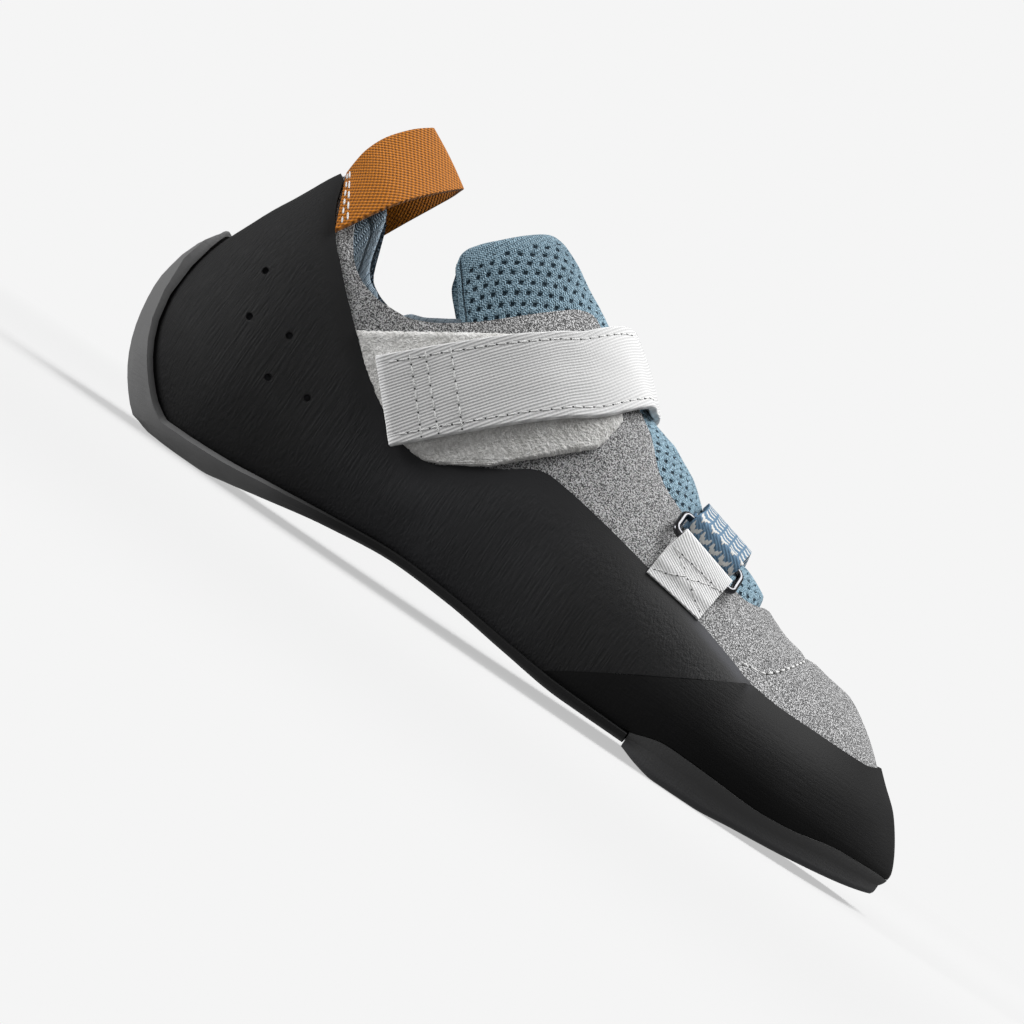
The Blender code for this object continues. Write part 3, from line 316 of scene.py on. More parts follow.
class Last:
    """The skin of the foot: a fan of ribs at the heel, straight ribs, and a fan at the toe."""

    HEEL_X = 36.0
    TOE_X = 224.0
    TOE_Y = 8.0
    HEEL_BACK = (4.8, 0.0)
    TOE_TIP = (261.4, 15.0)
    HEEL_SHAPE = (20.0, 37.0, 1.18)
    TOE_SHAPE = (2.0, 13.0, 1.30)
    HEEL_ROUND = 46.0
    TOE_ROUND = 44.0
    LEVEL_STEP = 0.01
    LEVEL_TOP = 1.995
    PLACE_STEP = 0.004
    LEVELS = 401
    WALK_STEP = 1.5
    NUDGE_ALONG = 0.5
    NUDGE_SHARE = 0.01

    def __init__(self) -> None:
        """Read the tables into curves and outlines."""
        ring = [self.HEEL_BACK] + [(row.along, row.lateral) for row in PLAN] + [self.TOE_TIP]
        ring += [(row.along, row.medial) for row in reversed(PLAN)]
        outline = spline(np.array(ring), 40, closed=True)
        x, y = outline[:, 0], outline[:, 1]
        self.side: dict[Side, tuple[Array, Array]] = {}
        self.heel: dict[Side, tuple[Array, Array]] = {}
        for hand in Side:
            self.side[hand] = self.sort(x, y, (x > 20.0) & (x < 245.0) & (y * hand > 0.0))
            angle = np.arctan2(y * hand, self.HEEL_X - x)
            near = (x < self.HEEL_X + 12.0) & (y * hand > -1e-6)
            self.heel[hand] = self.sort(angle, np.hypot(x - self.HEEL_X, y), near)
        angle = np.arctan2(y - self.TOE_Y, x - self.TOE_X)
        self.toe = self.sort(angle, np.hypot(x - self.TOE_X, y - self.TOE_Y), x > self.TOE_X - 16.0)
        self.tip = math.atan2(self.TOE_TIP[1] - self.TOE_Y, self.TOE_TIP[0] - self.TOE_X)
        names = Section._fields[1:]
        self.column = {name: Curve([(row.along, getattr(row, name)) for row in SECTIONS]) for name in names}
        self.known: dict[tuple[int, float], Rib] = {}

    @staticmethod
    def sort(key: Array, value: Array, keep: Array) -> tuple[Array, Array]:
        """The kept pairs, sorted by key."""
        order = np.argsort(key[keep])
        return key[keep][order], value[keep][order]

    @classmethod
    def station(cls, along: float) -> float:
        """Place on the perimeter of a straight rib: 1 at the heel axis, 2 at the toe axis."""
        return 1.0 + (along - cls.HEEL_X) / (cls.TOE_X - cls.HEEL_X)

    def rib(self, hand: Side, place: float) -> Rib:
        """Rib of one side.

        Args:
            hand: side of the shoe.
            place: 0 straight back, 1 to 2 along the foot, 3 at the tip of the toe.

        Returns:
            The rib; past either end it is the other side's.
        """
        if place < 0.0:
            hand, place = Side(-hand), -place
        if place > 3.0:
            hand, place = Side(-hand), 6.0 - place
        key = (int(hand), round(place, 6))
        if key not in self.known:
            self.known[key] = self.make_rib(hand, place)
        return self.known[key]

    def make_rib(self, hand: Side, place: float) -> Rib:
        """Work a rib out of the tables; the arguments are those of rib."""
        column = self.column
        tuck, bend = (column[f"{name}_{hand.name.lower()}"] for name in ("tuck", "round"))
        if place < 1.0:
            angle = place * math.pi / 2.0
            reach = np.interp(angle, *self.heel[hand])
            share = math.sin(angle) ** 2
            ends = (tuck(self.HEEL_X), column["bulge"](self.HEEL_X), bend(self.HEEL_X))
            shape = [a + (b - a) * share for a, b in zip(self.HEEL_SHAPE, ends)]
            return Rib(self.HEEL_X, 0.0, -math.cos(angle), hand * math.sin(angle), reach - shape[0], reach,
                       FEATHER(self.HEEL_X), shape[1], column["crest"](self.HEEL_X), shape[2],
                       self.HEEL_X - reach * math.cos(angle), math.degrees(angle))
        if place <= 2.0:
            along = self.HEEL_X + (self.TOE_X - self.HEEL_X) * (place - 1.0)
            spine = column["spine"](along)
            reach = hand * (np.interp(along, *self.side[hand]) - spine)
            return Rib(along, spine, 0.0, float(hand), reach - tuck(along), reach, FEATHER(along),
                       column["bulge"](along), column["crest"](along), bend(along), along, 90.0)
        share = place - 2.0
        angle = hand * math.pi / 2.0 * (1.0 - share) + self.tip * share
        reach = np.interp(angle, *self.toe)
        tip = ease(share, 0.0, 1.0)
        along = self.TOE_X + reach * math.cos(angle)
        ends = (tuck(self.TOE_X), column["bulge"](self.TOE_X), bend(self.TOE_X))
        shape = [b + (a - b) * tip for a, b in zip(self.TOE_SHAPE, ends)]
        return Rib(self.TOE_X, self.TOE_Y, math.cos(angle), math.sin(angle), reach - shape[0], reach,
                   FEATHER(along), shape[1], column["crest"](self.TOE_X), shape[2], along, 90.0)

    def skin(self, hand: Side, place: float, level: Array) -> Array:
        """Points of a rib.

        Args:
            hand: side of the shoe.
            place: place on the perimeter.
            level: heights up the rib: 0 lower edge, 1 widest point, 2 crest.

        Returns:
            One point for each level.
        """
        rib = self.rib(hand, place)
        level = np.atleast_1d(np.asarray(level, float))
        turn = np.minimum(level, 1.0) * math.pi / 2.0
        low_reach = rib.foot + (rib.reach - rib.foot) * np.sin(turn)
        low_height = rib.bulge - (rib.bulge - rib.feather) * np.cos(turn)
        turn = np.clip(level - 1.0, 0.0, 1.0) * math.pi / 2.0
        power = 2.0 / rib.bend
        high_reach = np.where(level >= 2.0, 0.0, rib.reach * np.maximum(np.cos(turn), 0.0) ** power)
        high_height = rib.bulge + (rib.crest - rib.bulge) * np.sin(turn) ** power
        reach = np.where(level <= 1.0, low_reach, high_reach)
        height = np.where(level <= 1.0, low_height, high_height)
        return np.stack([rib.x + rib.way_x * reach, rib.y + rib.way_y * reach, height], axis=-1)

    def normal(self, hand: Side, place: float, level: Array) -> Array:
        """Outward directions of the skin; the arguments are those of skin."""
        level = np.atleast_1d(np.asarray(level, float))
        middle = np.minimum(level, 1.99)
        up, on = self.LEVEL_STEP, self.PLACE_STEP
        low, high = (self.skin(hand, place, np.clip(level + step, 0.0, self.LEVEL_TOP)) for step in (-up, up))
        back, ahead = (self.skin(hand, place + step, middle) for step in (-on, on))
        return unit(hand * np.cross(high - low, ahead - back))

    def lifted(self, hand: Side, place: float, level: Array, lift: Array | float) -> Array:
        """Points at a distance outside the skin, negative inside.

        Args:
            hand: side of the shoe.
            place: place on the perimeter.
            level: heights up the rib.
            lift: one distance, or one for each level.

        Returns:
            One point for each level.
        """
        lift = np.broadcast_to(np.asarray(lift, float), np.atleast_1d(level).shape)
        return self.skin(hand, place, level) + self.normal(hand, place, level) * lift[:, None]

    def level_under(self, hand: Side, place: float, line: Line, start: float = 0.0) -> float:
        """Level at which a rib rises through a line seen from the side.

        Args:
            hand: side of the shoe.
            place: place on the perimeter.
            line: height as a function of x.
            start: level to search from.

        Returns:
            The level, or 2 at the crest if the rib stays under the line.
        """
        level = np.linspace(start, 2.0, self.LEVELS)
        spot = self.skin(hand, place, level)
        over = spot[:, 2] - line(spot[:, 0])
        above = np.flatnonzero(over > 0.0)
        if len(above) == 0:
            return 2.0
        i = max(int(above[0]), 1)
        return float(level[i] - (level[i] - level[i - 1]) * over[i] / max(over[i] - over[i - 1], 1e-9))

    def level_at(self, hand: Side, place: float, height: float) -> float:
        """Level of a rib at a height."""
        return self.level_under(hand, place, lambda x: np.full_like(x, height))

    def on_side(self, hand: Side, x: float, z: float) -> tuple[float, float]:
        """Place and level of the skin point seen from the side at x and z."""
        if x >= self.HEEL_X:
            place = self.station(x)
            return place, self.level_at(hand, place, z)
        low, high = 0.0, 1.0
        for _ in range(24):
            place = 0.5 * (low + high)
            level = self.level_at(hand, place, z)
            if self.skin(hand, place, level)[0, 0] < x:
                low = place
            else:
                high = place
        return place, level

    def seen(self, hand: Side, x: float, z: float, lift: float = 0.0) -> tuple[Array, Array]:
        """Point at a lift off the skin seen from the side at x and z, and the outward direction there."""
        place, level = self.on_side(hand, x, z)
        out = self.normal(hand, place, level)[0]
        return self.skin(hand, place, level)[0] + out * lift, out

    def girth(self, along: float, share: float, lift: float = 0.0) -> Array:
        """Point from a place along the foot, a signed share of girth from the crest, and a lift."""
        hand = Side.MEDIAL if share > 0.0 else Side.LATERAL
        level = 2.0 - abs(share)
        if lift == 0.0:
            return self.skin(hand, self.station(along), level)[0]
        return self.lifted(hand, self.station(along), level, lift)[0]

    def girth_normal(self, along: float, share: float) -> Array:
        """Outward direction at a place along the foot and a signed share of girth."""
        hand = Side.MEDIAL if share > 0.0 else Side.LATERAL
        return self.normal(hand, self.station(along), 2.0 - abs(share))[0]

    def spread(self, along: Array, share: Array) -> tuple[Array, Array]:
        """Skin for many places at once.

        Args:
            along: places along the foot.
            share: signed shares of girth from the crest.

        Returns:
            Points and outward directions, in the shape of the two arrays.
        """
        step, reach, count = 0.5, 0.8, 160
        stops = np.arange(along.min() - 1.0, along.max() + 1.5, step)
        sides = np.linspace(-reach, reach, count + 1)
        table = np.empty((len(stops), len(sides), 6))
        for i, stop in enumerate(stops):
            for hand, cut in ((Side.LATERAL, sides <= 0.0), (Side.MEDIAL, sides > 0.0)):
                level = 2.0 - np.abs(sides[cut])
                table[i, cut, :3] = self.skin(hand, self.station(stop), level)
                table[i, cut, 3:] = self.normal(hand, self.station(stop), level)
        a, b = (along - stops[0]) / step, (share + reach) / (2.0 * reach / count)
        i, j = np.floor(a).astype(int), np.clip(np.floor(b).astype(int), 0, count - 1)
        a, b = (a - i)[..., None], (b - j)[..., None]
        low = table[i, j] * (1.0 - b) + table[i, j + 1] * b
        high = table[i + 1, j] * (1.0 - b) + table[i + 1, j + 1] * b
        mixed = low * (1.0 - a) + high * a
        return mixed[..., :3], unit(mixed[..., 3:])

    def walk(self, along: float, share: float, way: Array, length: float) -> tuple[float, float]:
        """Walk over the skin.

        Args:
            along: place along the foot to start from.
            share: signed share of girth to start from.
            way: direction in space.
            length: how far to go.

        Returns:
            The new place along the foot and share of girth.
        """
        pieces = max(1, math.ceil(abs(length) / self.WALK_STEP))
        for _ in range(pieces):
            here = self.girth(along, share)
            forward = self.girth(along + self.NUDGE_ALONG, share) - here
            around = self.girth(along, share + self.NUDGE_SHARE) - here
            move = way * (length / pieces)
            a, b, c = forward @ forward, forward @ around, around @ around
            p, q = move @ forward, move @ around
            size = a * c - b * b
            along += self.NUDGE_ALONG * (p * c - q * b) / size
            share += self.NUDGE_SHARE * (q * a - p * b) / size
        return along, share

    def perimeter(self, first: float = 0.0, last: float = 3.0, pitch: float = 1.6) -> Ribs:
        """Ribs from the lateral side round one end, or all round, to the medial side.

        Args:
            first: place of the first rib of each side.
            last: place of the last rib of each side.
            pitch: about how far apart the ribs are.

        Returns:
            Sides and places in order.
        """
        count = round((self.TOE_X - self.HEEL_X) / pitch)
        every = np.concatenate([np.linspace(0.0, 1.0, int(self.HEEL_ROUND / pitch), endpoint=False),
                                np.linspace(1.0, 2.0, count, endpoint=False),
                                np.linspace(2.0, 3.0, int(self.TOE_ROUND / pitch))])
        line = [first] + [float(p) for p in every if first + 2e-3 < p < last - 2e-3] + [last]
        if first <= 0.0 and last < 3.0:
            return [(Side.LATERAL, p) for p in reversed(line[1:])] + [(Side.MEDIAL, p) for p in line]
        return [(Side.LATERAL, p) for p in line] + [(Side.MEDIAL, p) for p in reversed(line[:-1])]

    def collar_level(self, hand: Side, place: float) -> float:
        """Top edge of the suede: the collar and throat, or the crest ahead of the throat."""
        if place >= self.station(THROAT_END) - 1e-6:
            return 2.0
        if place > self.station(THROAT_TURN):
            start = 2.0 - self.level_under(hand, self.station(THROAT_TURN), COLLAR, 1.0)
            t = (place - self.station(THROAT_TURN)) / (self.station(THROAT_END) - self.station(THROAT_TURN))
            return 2.0 - start * math.sqrt(max(0.0, 1.0 - t * t))
        return self.level_under(hand, place, COLLAR, 1.0)

    def rand_low(self, hand: Side, place: float) -> float:
        """Level at which the rubber rand starts above the sole."""
        if place < self.station(SOLE_SPLIT - 2.0):
            return HEEL_RIM + 0.02
        return self.level_under(hand, place, FORE_EDGE) + 0.02

    def rand_high(self, hand: Side, place: float) -> float:
        """Level of the rubber rand's top edge."""
        return self.level_under(hand, place, RAND_TOP, 0.3)

    def sole_point(self, hand: Side, place: float, share: float, line: Curve, rise: float = 0.0) -> Array:
        """Point between the spine and the lower edge of a rib, at a line's height there."""
        rib = self.rib(hand, place)
        x = rib.x + rib.way_x * rib.foot * share
        return np.array([x, rib.y + rib.way_y * rib.foot * share, line(x) + rise])


def deselect() -> None:
    """Leave object mode with nothing selected."""
    if bpy.context.object is not None and bpy.context.object.mode != "OBJECT":
        bpy.ops.object.mode_set(mode="OBJECT")
    bpy.ops.object.select_all(action="DESELECT")


def choose(piece: Piece) -> None:
    """Make one piece the selected and active one."""
    deselect()
    piece.select_set(True)
    bpy.context.view_layer.objects.active = piece


def named(name: str) -> Piece:
    """The piece just added, with a name for it and for its mesh."""
    piece = bpy.context.object
    piece.name = piece.data.name = name
    return piece


@contextmanager
def editing() -> Iterator[None]:
    """Edit mode with all of the active mesh selected."""
    bpy.ops.object.mode_set(mode="EDIT")
    bpy.ops.mesh.select_all(action="SELECT")
    yield
    bpy.ops.object.mode_set(mode="OBJECT")


def apply(piece: Piece, kind: str, **values: object) -> None:
    """Add a modifier to a piece and apply it.

    Args:
        piece: the mesh object.
        kind: Blender's name of the modifier's type.
        **values: the modifier's settings.
    """
    choose(piece)
    modifier = piece.modifiers.new(kind.title(), kind)
    for name, value in values.items():
        setattr(modifier, name, value)
    bpy.ops.object.modifier_apply(modifier=modifier.name)


def smooth(piece: Piece, degrees: float = 42.0) -> None:
    """Shade a piece smooth except across edges sharper than an angle."""
    choose(piece)
    bpy.ops.object.shade_smooth_by_angle(angle=math.radians(degrees))


def scene_points(points: Array) -> Array:
    """Points of the shoe's own frame in the scene's metres."""
    return (points - MIDDLE) * MM


def row_length(points: Array) -> Array:
    """Length along a row of points from its first."""
    return np.concatenate([[0.0], np.cumsum(np.linalg.norm(np.diff(points, axis=0), axis=1))])


def sample(length: Array, row: Array, at: float | Array) -> Array:
    """Points of a row at lengths along it."""
    return np.stack([np.interp(at, length, row[:, axis]) for axis in range(row.shape[1])], axis=-1)


def rolled(gap: Array, width: float) -> Array:
    """Share of the full height on a rim rolled off over a width."""
    return np.sqrt(1.0 - (1.0 - np.clip(gap / width, 0.0, 1.0)) ** 2)


def denser(points: Array, down: int, across: int) -> Array:
    """Rows and columns of points with smooth runs of steps between them."""
    return np.swapaxes(spline(np.swapaxes(spline(points, down), 0, 1), across), 0, 1)


@dataclass
class Cloth:
    """Rows of points that a flat grid is laid over.

    Attributes:
        points: rows by columns by 3, in millimetres.
        flat: rows by columns by 2, millimetres in the cloth's own plane.
        masks: values for each point, kept as attributes of the mesh.
        weights: share of the full thickness at each point.
    """

    points: Array
    flat: Array | None = None
    masks: dict[str, Array] = field(default_factory=dict)
    weights: Array | None = None

    def measure(self) -> None:
        """Fill in the flat map from the lengths of the middle row and column."""
        rows, columns = self.points.shape[:2]
        u, v = row_length(self.points[:, columns // 2]), row_length(self.points[rows // 2])
        self.flat = np.stack(np.broadcast_arrays(u[:, None], v[None, :]), axis=-1)

    def normals(self) -> Array:
        """Directions square to the cloth at each point."""
        return unit(np.cross(*(np.gradient(self.points, axis=axis) for axis in (0, 1))))

    def outward(self, inside: Spot) -> Array:
        """Directions square to the cloth that look away from a point inside."""
        out = self.normals()
        return out * np.sign(np.sum(out * (self.points - np.array(inside))))

    def raise_by(self, height: Array, inside: Spot) -> None:
        """Move the points along the outward normals.

        Args:
            height: millimetres at each point.
            inside: a point that the outward normals look away from.
        """
        self.points = self.points + self.outward(inside) * height[..., None]

    def lay(self, name: str, inside: Spot | None = None, join: bool = True) -> Piece:
        """Lay a grid over the points.

        Args:
            name: name of the new piece.
            inside: a point that the faces look away from, or None to let the mesh decide.
            join: whether points that meet become one.

        Returns:
            The new mesh object, at the origin.
        """
        rows, columns = self.points.shape[:2]
        if self.flat is None:
            self.measure()
        deselect()
        bpy.ops.mesh.primitive_grid_add(x_subdivisions=columns - 1, y_subdivisions=rows - 1, size=2.0)
        piece = named(name)
        mesh = piece.data
        spots = np.empty(len(mesh.vertices) * 3, np.float32)
        mesh.vertices.foreach_get("co", spots)
        share = (spots.reshape(-1, 3)[:, :2] + 1.0) / 2.0
        column, row = np.rint(share * (columns - 1, rows - 1)).astype(int).T
        mesh.vertices.foreach_set("co", scene_points(self.points)[row, column].astype(np.float32).ravel())
        corner = np.empty(len(mesh.loops), np.int32)
        mesh.loops.foreach_get("vertex_index", corner)
        flat = (self.flat / FLAT_UNIT)[row, column][corner]
        mesh.uv_layers.active.data.foreach_set("uv", flat.astype(np.float32).ravel())
        for key, mask in self.masks.items():
            layer = mesh.attributes.new(key, "FLOAT", "POINT")
            layer.data.foreach_set("value", mask[row, column].astype(np.float32))
        if self.weights is not None:
            group = piece.vertex_groups.new(name=FULL)
            for index, weight in enumerate(self.weights[row, column]):
                group.add([index], float(weight), "REPLACE")
        mesh.update()
        with editing():
            if join:
                bpy.ops.mesh.remove_doubles(threshold=MERGE)
                bpy.ops.mesh.dissolve_degenerate(threshold=0.5 * MERGE)
            if inside is None:
                bpy.ops.mesh.normals_make_consistent(inside=False)
        if inside is not None:
            self.face_out(piece, inside)
        return piece

    @staticmethod
    def face_out(piece: Piece, inside: Spot) -> None:
        """Turn a sheet's faces away from a point inside."""
        hint = Vector(scene_points(np.array(inside)))
        total = sum(p.normal.dot(p.center - hint) * p.area for p in piece.data.polygons)
        if total < 0.0:
            with editing():
                bpy.ops.mesh.flip_normals()


def thicken(piece: Piece, thickness: float, offset: float, least: float | None = None,
            inner_slot: int = 0) -> None:
    """Give a sheet its wall.

    Args:
        piece: the sheet.
        thickness: millimetres of wall.
        offset: 1 to grow outward, -1 inward, 0 both ways.
        least: share of the thickness where the weights are 0, or None for an even wall.
        inner_slot: steps from the outer face's material slot to the inner face's.
    """
    weighted = {} if least is None else {"vertex_group": FULL, "thickness_vertex_group": least}
    apply(piece, "SOLIDIFY", thickness=thickness * MM, offset=offset, use_rim=True, use_quality_normals=True,
          material_offset=inner_slot, **weighted)


def round_rim(piece: Piece, width: float, segments: int = 2) -> None:
    """Round the cut edges of a walled sheet."""
    apply(piece, "BEVEL", width=width * MM, segments=segments, limit_method="ANGLE",
          angle_limit=math.radians(58.0), use_clamp_overlap=True)


def close_ends(piece: Piece) -> None:
    """Fill the open ends of a mesh and turn its faces outward."""
    choose(piece)
    with editing():
        bpy.ops.mesh.select_mode(type="EDGE")
        bpy.ops.mesh.select_all(action="DESELECT")
        bpy.ops.mesh.select_non_manifold(extend=False, use_wire=False, use_boundary=True,
                                         use_multi_face=False, use_non_contiguous=False, use_verts=False)
        bpy.ops.mesh.edge_face_add()
        bpy.ops.mesh.select_all(action="SELECT")
        bpy.ops.mesh.normals_make_consistent(inside=False)
        bpy.ops.mesh.select_mode(type="VERT")


Value = object
Inputs = dict[str | int, Value]


class Graph:
    """Short way to add and join shader nodes in one tree."""

    def __init__(self, tree: bpy.types.NodeTree) -> None:
        """Work in a node tree."""
        self.tree = tree

    def feed(self, node: bpy.types.Node, inputs: Inputs) -> None:
        """Give a node's inputs their values, or join them to sockets."""
        for key, value in inputs.items():
            if isinstance(value, Socket):
                self.tree.links.new(value, node.inputs[key])
            else:
                node.inputs[key].default_value = value

    def add(self, kind: str, inputs: Inputs | None = None, **settings: Value) -> bpy.types.Node:
        """Add a node.

        Args:
            kind: Blender's name of the node's type.
            inputs: value or socket for each named or numbered input.
            **settings: the node's own settings.

        Returns:
            The node.
        """
        node = self.tree.nodes.new(kind)
        for key, value in settings.items():
            setattr(node, key, value)
        self.feed(node, inputs or {})
        return node

    def math(self, operation: str, first: Value, second: Value = 0.0, clamp: bool = False) -> Socket:
        """Result of a math node with two inputs."""
        inputs = {0: first, 1: second}
        return self.add("ShaderNodeMath", inputs, operation=operation, use_clamp=clamp).outputs[0]

    def vector(self, operation: str, first: Value, second: Value) -> bpy.types.Node:
        """A vector math node with two inputs."""
        return self.add("ShaderNodeVectorMath", {0: first, 1: second}, operation=operation)

    def times(self, *values: Value) -> Socket:
        """Values times each other."""
        return reduce(partial(self.math, "MULTIPLY"), values)

    def total(self, *terms: tuple[Value, Value], plus: Value = None, clamp: bool = False) -> Socket:
        """Values times their weights, added up.

        Args:
            *terms: each value with its weight.
            plus: what is added at the end, if anything is.
            clamp: whether each sum is cut at 0 and 1.

        Returns:
            The sum.
        """
        parts = [self.times(*term) for term in terms] + ([] if plus is None else [plus])
        return reduce(partial(self.math, "ADD", clamp=clamp), parts)

    def blend(self, share: Value, first: Value, second: Value) -> Socket:
        """Mix of two colours."""
        first, second = ((*side, 1.0) if isinstance(side, tuple) else side for side in (first, second))
        return self.add("ShaderNodeMix", {0: share, 6: first, 7: second}, data_type="RGBA").outputs[2]

    def span(self, value: Value, low: Value, high: Value, to_low: float = 0.0,
             to_high: float = 1.0) -> Socket:
        """Soft remap of a value from one span to another."""
        inputs = {0: value, 1: low, 2: high, 3: to_low, 4: to_high}
        return self.add("ShaderNodeMapRange", inputs, interpolation_type="SMOOTHSTEP").outputs[0]

    def noise(self, where: Value, scale: Value, detail: float, rough: float) -> Socket:
        """Noise of a scale, with its detail and roughness."""
        inputs = {"Vector": where, "Scale": scale, "Detail": detail, "Roughness": rough}
        return self.add("ShaderNodeTexNoise", inputs).outputs[0]

    def contrast(self, value: Value, amount: Value) -> Socket:
        """A value spread about its middle and cut at 0 and 1."""
        return self.total((self.math("SUBTRACT", value, 0.5), amount), plus=0.5, clamp=True)

    def wave(self, turns: Value) -> Socket:
        """Even wave from 0 to 1, one to a turn."""
        return self.total((self.math("SINE", self.times(turns, 2.0 * math.pi)), 0.5), plus=0.5)

    def attribute(self, name: str) -> Socket:
        """Value of one of the mesh's own masks."""
        return self.add("ShaderNodeAttribute", attribute_name=name).outputs["Fac"]

    def place(self, flat: bool = False) -> Socket:
        """Object coordinates, or the flat map of the cloth."""
        return self.add("ShaderNodeTexCoord").outputs["UV" if flat else "Object"]

    def bump(self, height: Value, distance: float) -> Socket:
        """Normal of a height, its distance in millimetres."""
        inputs = {"Height": height, "Distance": distance * MM, "Strength": 1.0}
        return self.add("ShaderNodeBump", inputs).outputs[0]

    def use(self, effect: Effect, *values: Value) -> Socket:
        """Result of a shared effect, from values for its inputs in their order."""
        return self.add("ShaderNodeGroup", dict(enumerate(values)), node_tree=effect.tree()).outputs[0]


@dataclass(frozen=True)
class Effect:
    """A shared surface effect: a node group with one output, built when it is first used.

    Attributes:
        name: name of the group.
        inputs: first value of each input; a vector where it is None or three numbers.
        draw: adds the nodes, from the group's inputs to its result.
    """

    name: str
    inputs: dict[str, Value]
    draw: Callable[[Graph, Sequence[Socket]], Socket]

    def tree(self) -> bpy.types.NodeTree:
        """Find or build the group.

        Returns:
            The group's node tree.
        """
        if self.name in bpy.data.node_groups:
            return bpy.data.node_groups[self.name]
        tree = bpy.data.node_groups.new(self.name, "ShaderNodeTree")
        for label, value in self.inputs.items():
            kind = "NodeSocketFloat" if isinstance(value, float) else "NodeSocketVector"
            socket = tree.interface.new_socket(name=label, in_out="INPUT", socket_type=kind)
            if value is not None:
                socket.default_value = value
        tree.interface.new_socket(name="Fac", in_out="OUTPUT", socket_type="NodeSocketFloat")
        graph = Graph(tree)
        into, out = graph.add("NodeGroupInput"), graph.add("NodeGroupOutput")
        graph.feed(out, {0: self.draw(graph, into.outputs)})
        return tree


def draw_grain(graph: Graph, into: Sequence[Socket]) -> Socket:
    """Salt and pepper grain with a contrast."""
    return graph.contrast(graph.noise(into[0], into[1], 2.0, 0.6), into[2])


def draw_scores(graph: Graph, into: Sequence[Socket]) -> Socket:
    """Fine scratches that run along one axis."""
    drawn = graph.vector("MULTIPLY", into[0], into[1]).outputs[0]
    return graph.contrast(graph.noise(drawn, 1.0, 3.0, 0.62), into[2])


def draw_lines(graph: Graph, into: Sequence[Socket]) -> Socket:
    """Even parallel lines across a direction whose length is the lines to a unit."""
    return graph.wave(graph.vector("DOT_PRODUCT", into[0], into[1]).outputs["Value"])


def draw_knit(graph: Graph, into: Sequence[Socket]) -> Socket:
    """Columns of slanted stitches, with a line between two columns."""
    parts = graph.add("ShaderNodeSeparateXYZ", {0: into[0]}).outputs
    half = graph.math("PINGPONG", graph.times(parts[0], into[1]), 0.5)
    row = graph.total((parts[1], into[2]), (half, 1.5))
    return graph.times(graph.wave(row), graph.span(half, 0.0, 0.14, 0.25, 1.0))


def draw_diamonds(graph: Graph, into: Sequence[Socket]) -> Socket:
    """Millimetres from the middle of the nearest diamond in staggered rows."""
    parts = graph.add("ShaderNodeSeparateXYZ", {0: into[0]}).outputs
    near = []
    for shift in HOLE_SHIFTS:
        reach = []
        for part, pitch, weight in ((parts[0], into[2], HOLE_ALONG), (parts[1], into[1], HOLE_ACROSS)):
            turns = graph.math("DIVIDE", graph.times(part, FLAT_UNIT), pitch)
            off = graph.math("SUBTRACT", graph.math("FRACT", graph.math("ADD", turns, shift)), 0.5)
            reach.append(graph.times(graph.math("ABSOLUTE", off), pitch, weight))
        near.append(graph.math("ADD", *reach))
    return graph.math("MINIMUM", *near)


def draw_patches(graph: Graph, into: Sequence[Socket]) -> Socket:
    """Broad soft patches, for wear, dust and uneven dye."""
    return graph.span(graph.noise(into[0], into[1], 4.0, 0.55), into[2], into[3])


GRAIN = Effect("grain", {"Vector": None, "Scale": 1000.0, "Contrast": 2.0}, draw_grain)
SCORES = Effect("scores", {"Vector": None, "Stretch": (1.0, 1.0, 1.0), "Contrast": 3.0}, draw_scores)
LINES = Effect("lines", {"Vector": None, "Direction": (1.0, 0.0, 0.0)}, draw_lines)
KNIT = Effect("knit", {"Vector": None, "Columns": 70.0, "Rows": 90.0}, draw_knit)
DIAMONDS = Effect("diamonds", {"Vector": None, "Wide": 6.0, "Tall": 4.0}, draw_diamonds)
PATCHES = Effect("patches", {"Vector": None, "Scale": 40.0, "Low": 0.4, "High": 0.65}, draw_patches)


@dataclass(frozen=True)
class Finish:
    """A finish: name, main colour in linear light, and roughness."""

    name: str
    base: Colour
    rough: float

    def material(self) -> bpy.types.Material:
        """Build the finish as a material.

        Returns:
            The new material.
        """
        made = bpy.data.materials.new(self.name)
        made.use_nodes = True
        graph = Graph(made.node_tree)
        shader = made.node_tree.nodes["Principled BSDF"]
        graph.feed(shader, {"Base Color": (*self.base, 1.0), "Roughness": self.rough})
        graph.feed(shader, self.dress(graph))
        return made

    def dress(self, graph: Graph) -> Inputs:
        """The finish's own inputs of the shader."""
        return {}


@dataclass(frozen=True)
class Rubber(Finish):
    """Matt rubber with fine upright scores and a smoother skived edge."""

    worn: Colour = (0.026, 0.026, 0.027)
    pale: Colour = (0.058, 0.060, 0.070)
    score: float = 1.0
    edge: float = 6.4

    def dress(self, graph: Graph) -> Inputs:
        """Score, grain and wear the rubber."""
        where = graph.place()
        upright = graph.use(SCORES, where, (1500.0, 1500.0, 95.0), 3.4)
        level = graph.use(SCORES, where, (160.0, 160.0, 1500.0), 2.6)
        grain = graph.use(GRAIN, where, 2600.0, 1.6)
        dust = graph.use(PATCHES, where, 26.0, 0.42, 0.72)
        body = graph.span(graph.attribute("edge"), self.edge - 5.0, self.edge + 4.0)
        drawn = graph.times(upright, body, self.score)
        tone = graph.blend(graph.total((drawn, 0.22), (dust, 0.28)), self.base, self.worn)
        # The pale mask: scuffs along the rand's top edge, a paler middle of the rand, painted light from the
        # side on the back of the heel strip, and paler lower sole corners.
        rubbed = graph.times(graph.attribute("pale"), graph.total((dust, 0.3), plus=0.7))
        height = graph.total((drawn, 0.8), (grain, 0.3), (graph.times(level, body), 0.25))
        return {"Base Color": graph.blend(rubbed, tone, self.pale), "Specular IOR Level": 0.2,
                "Roughness": graph.total((drawn, 0.12), plus=self.rough), "Normal": graph.bump(height, 0.16)}


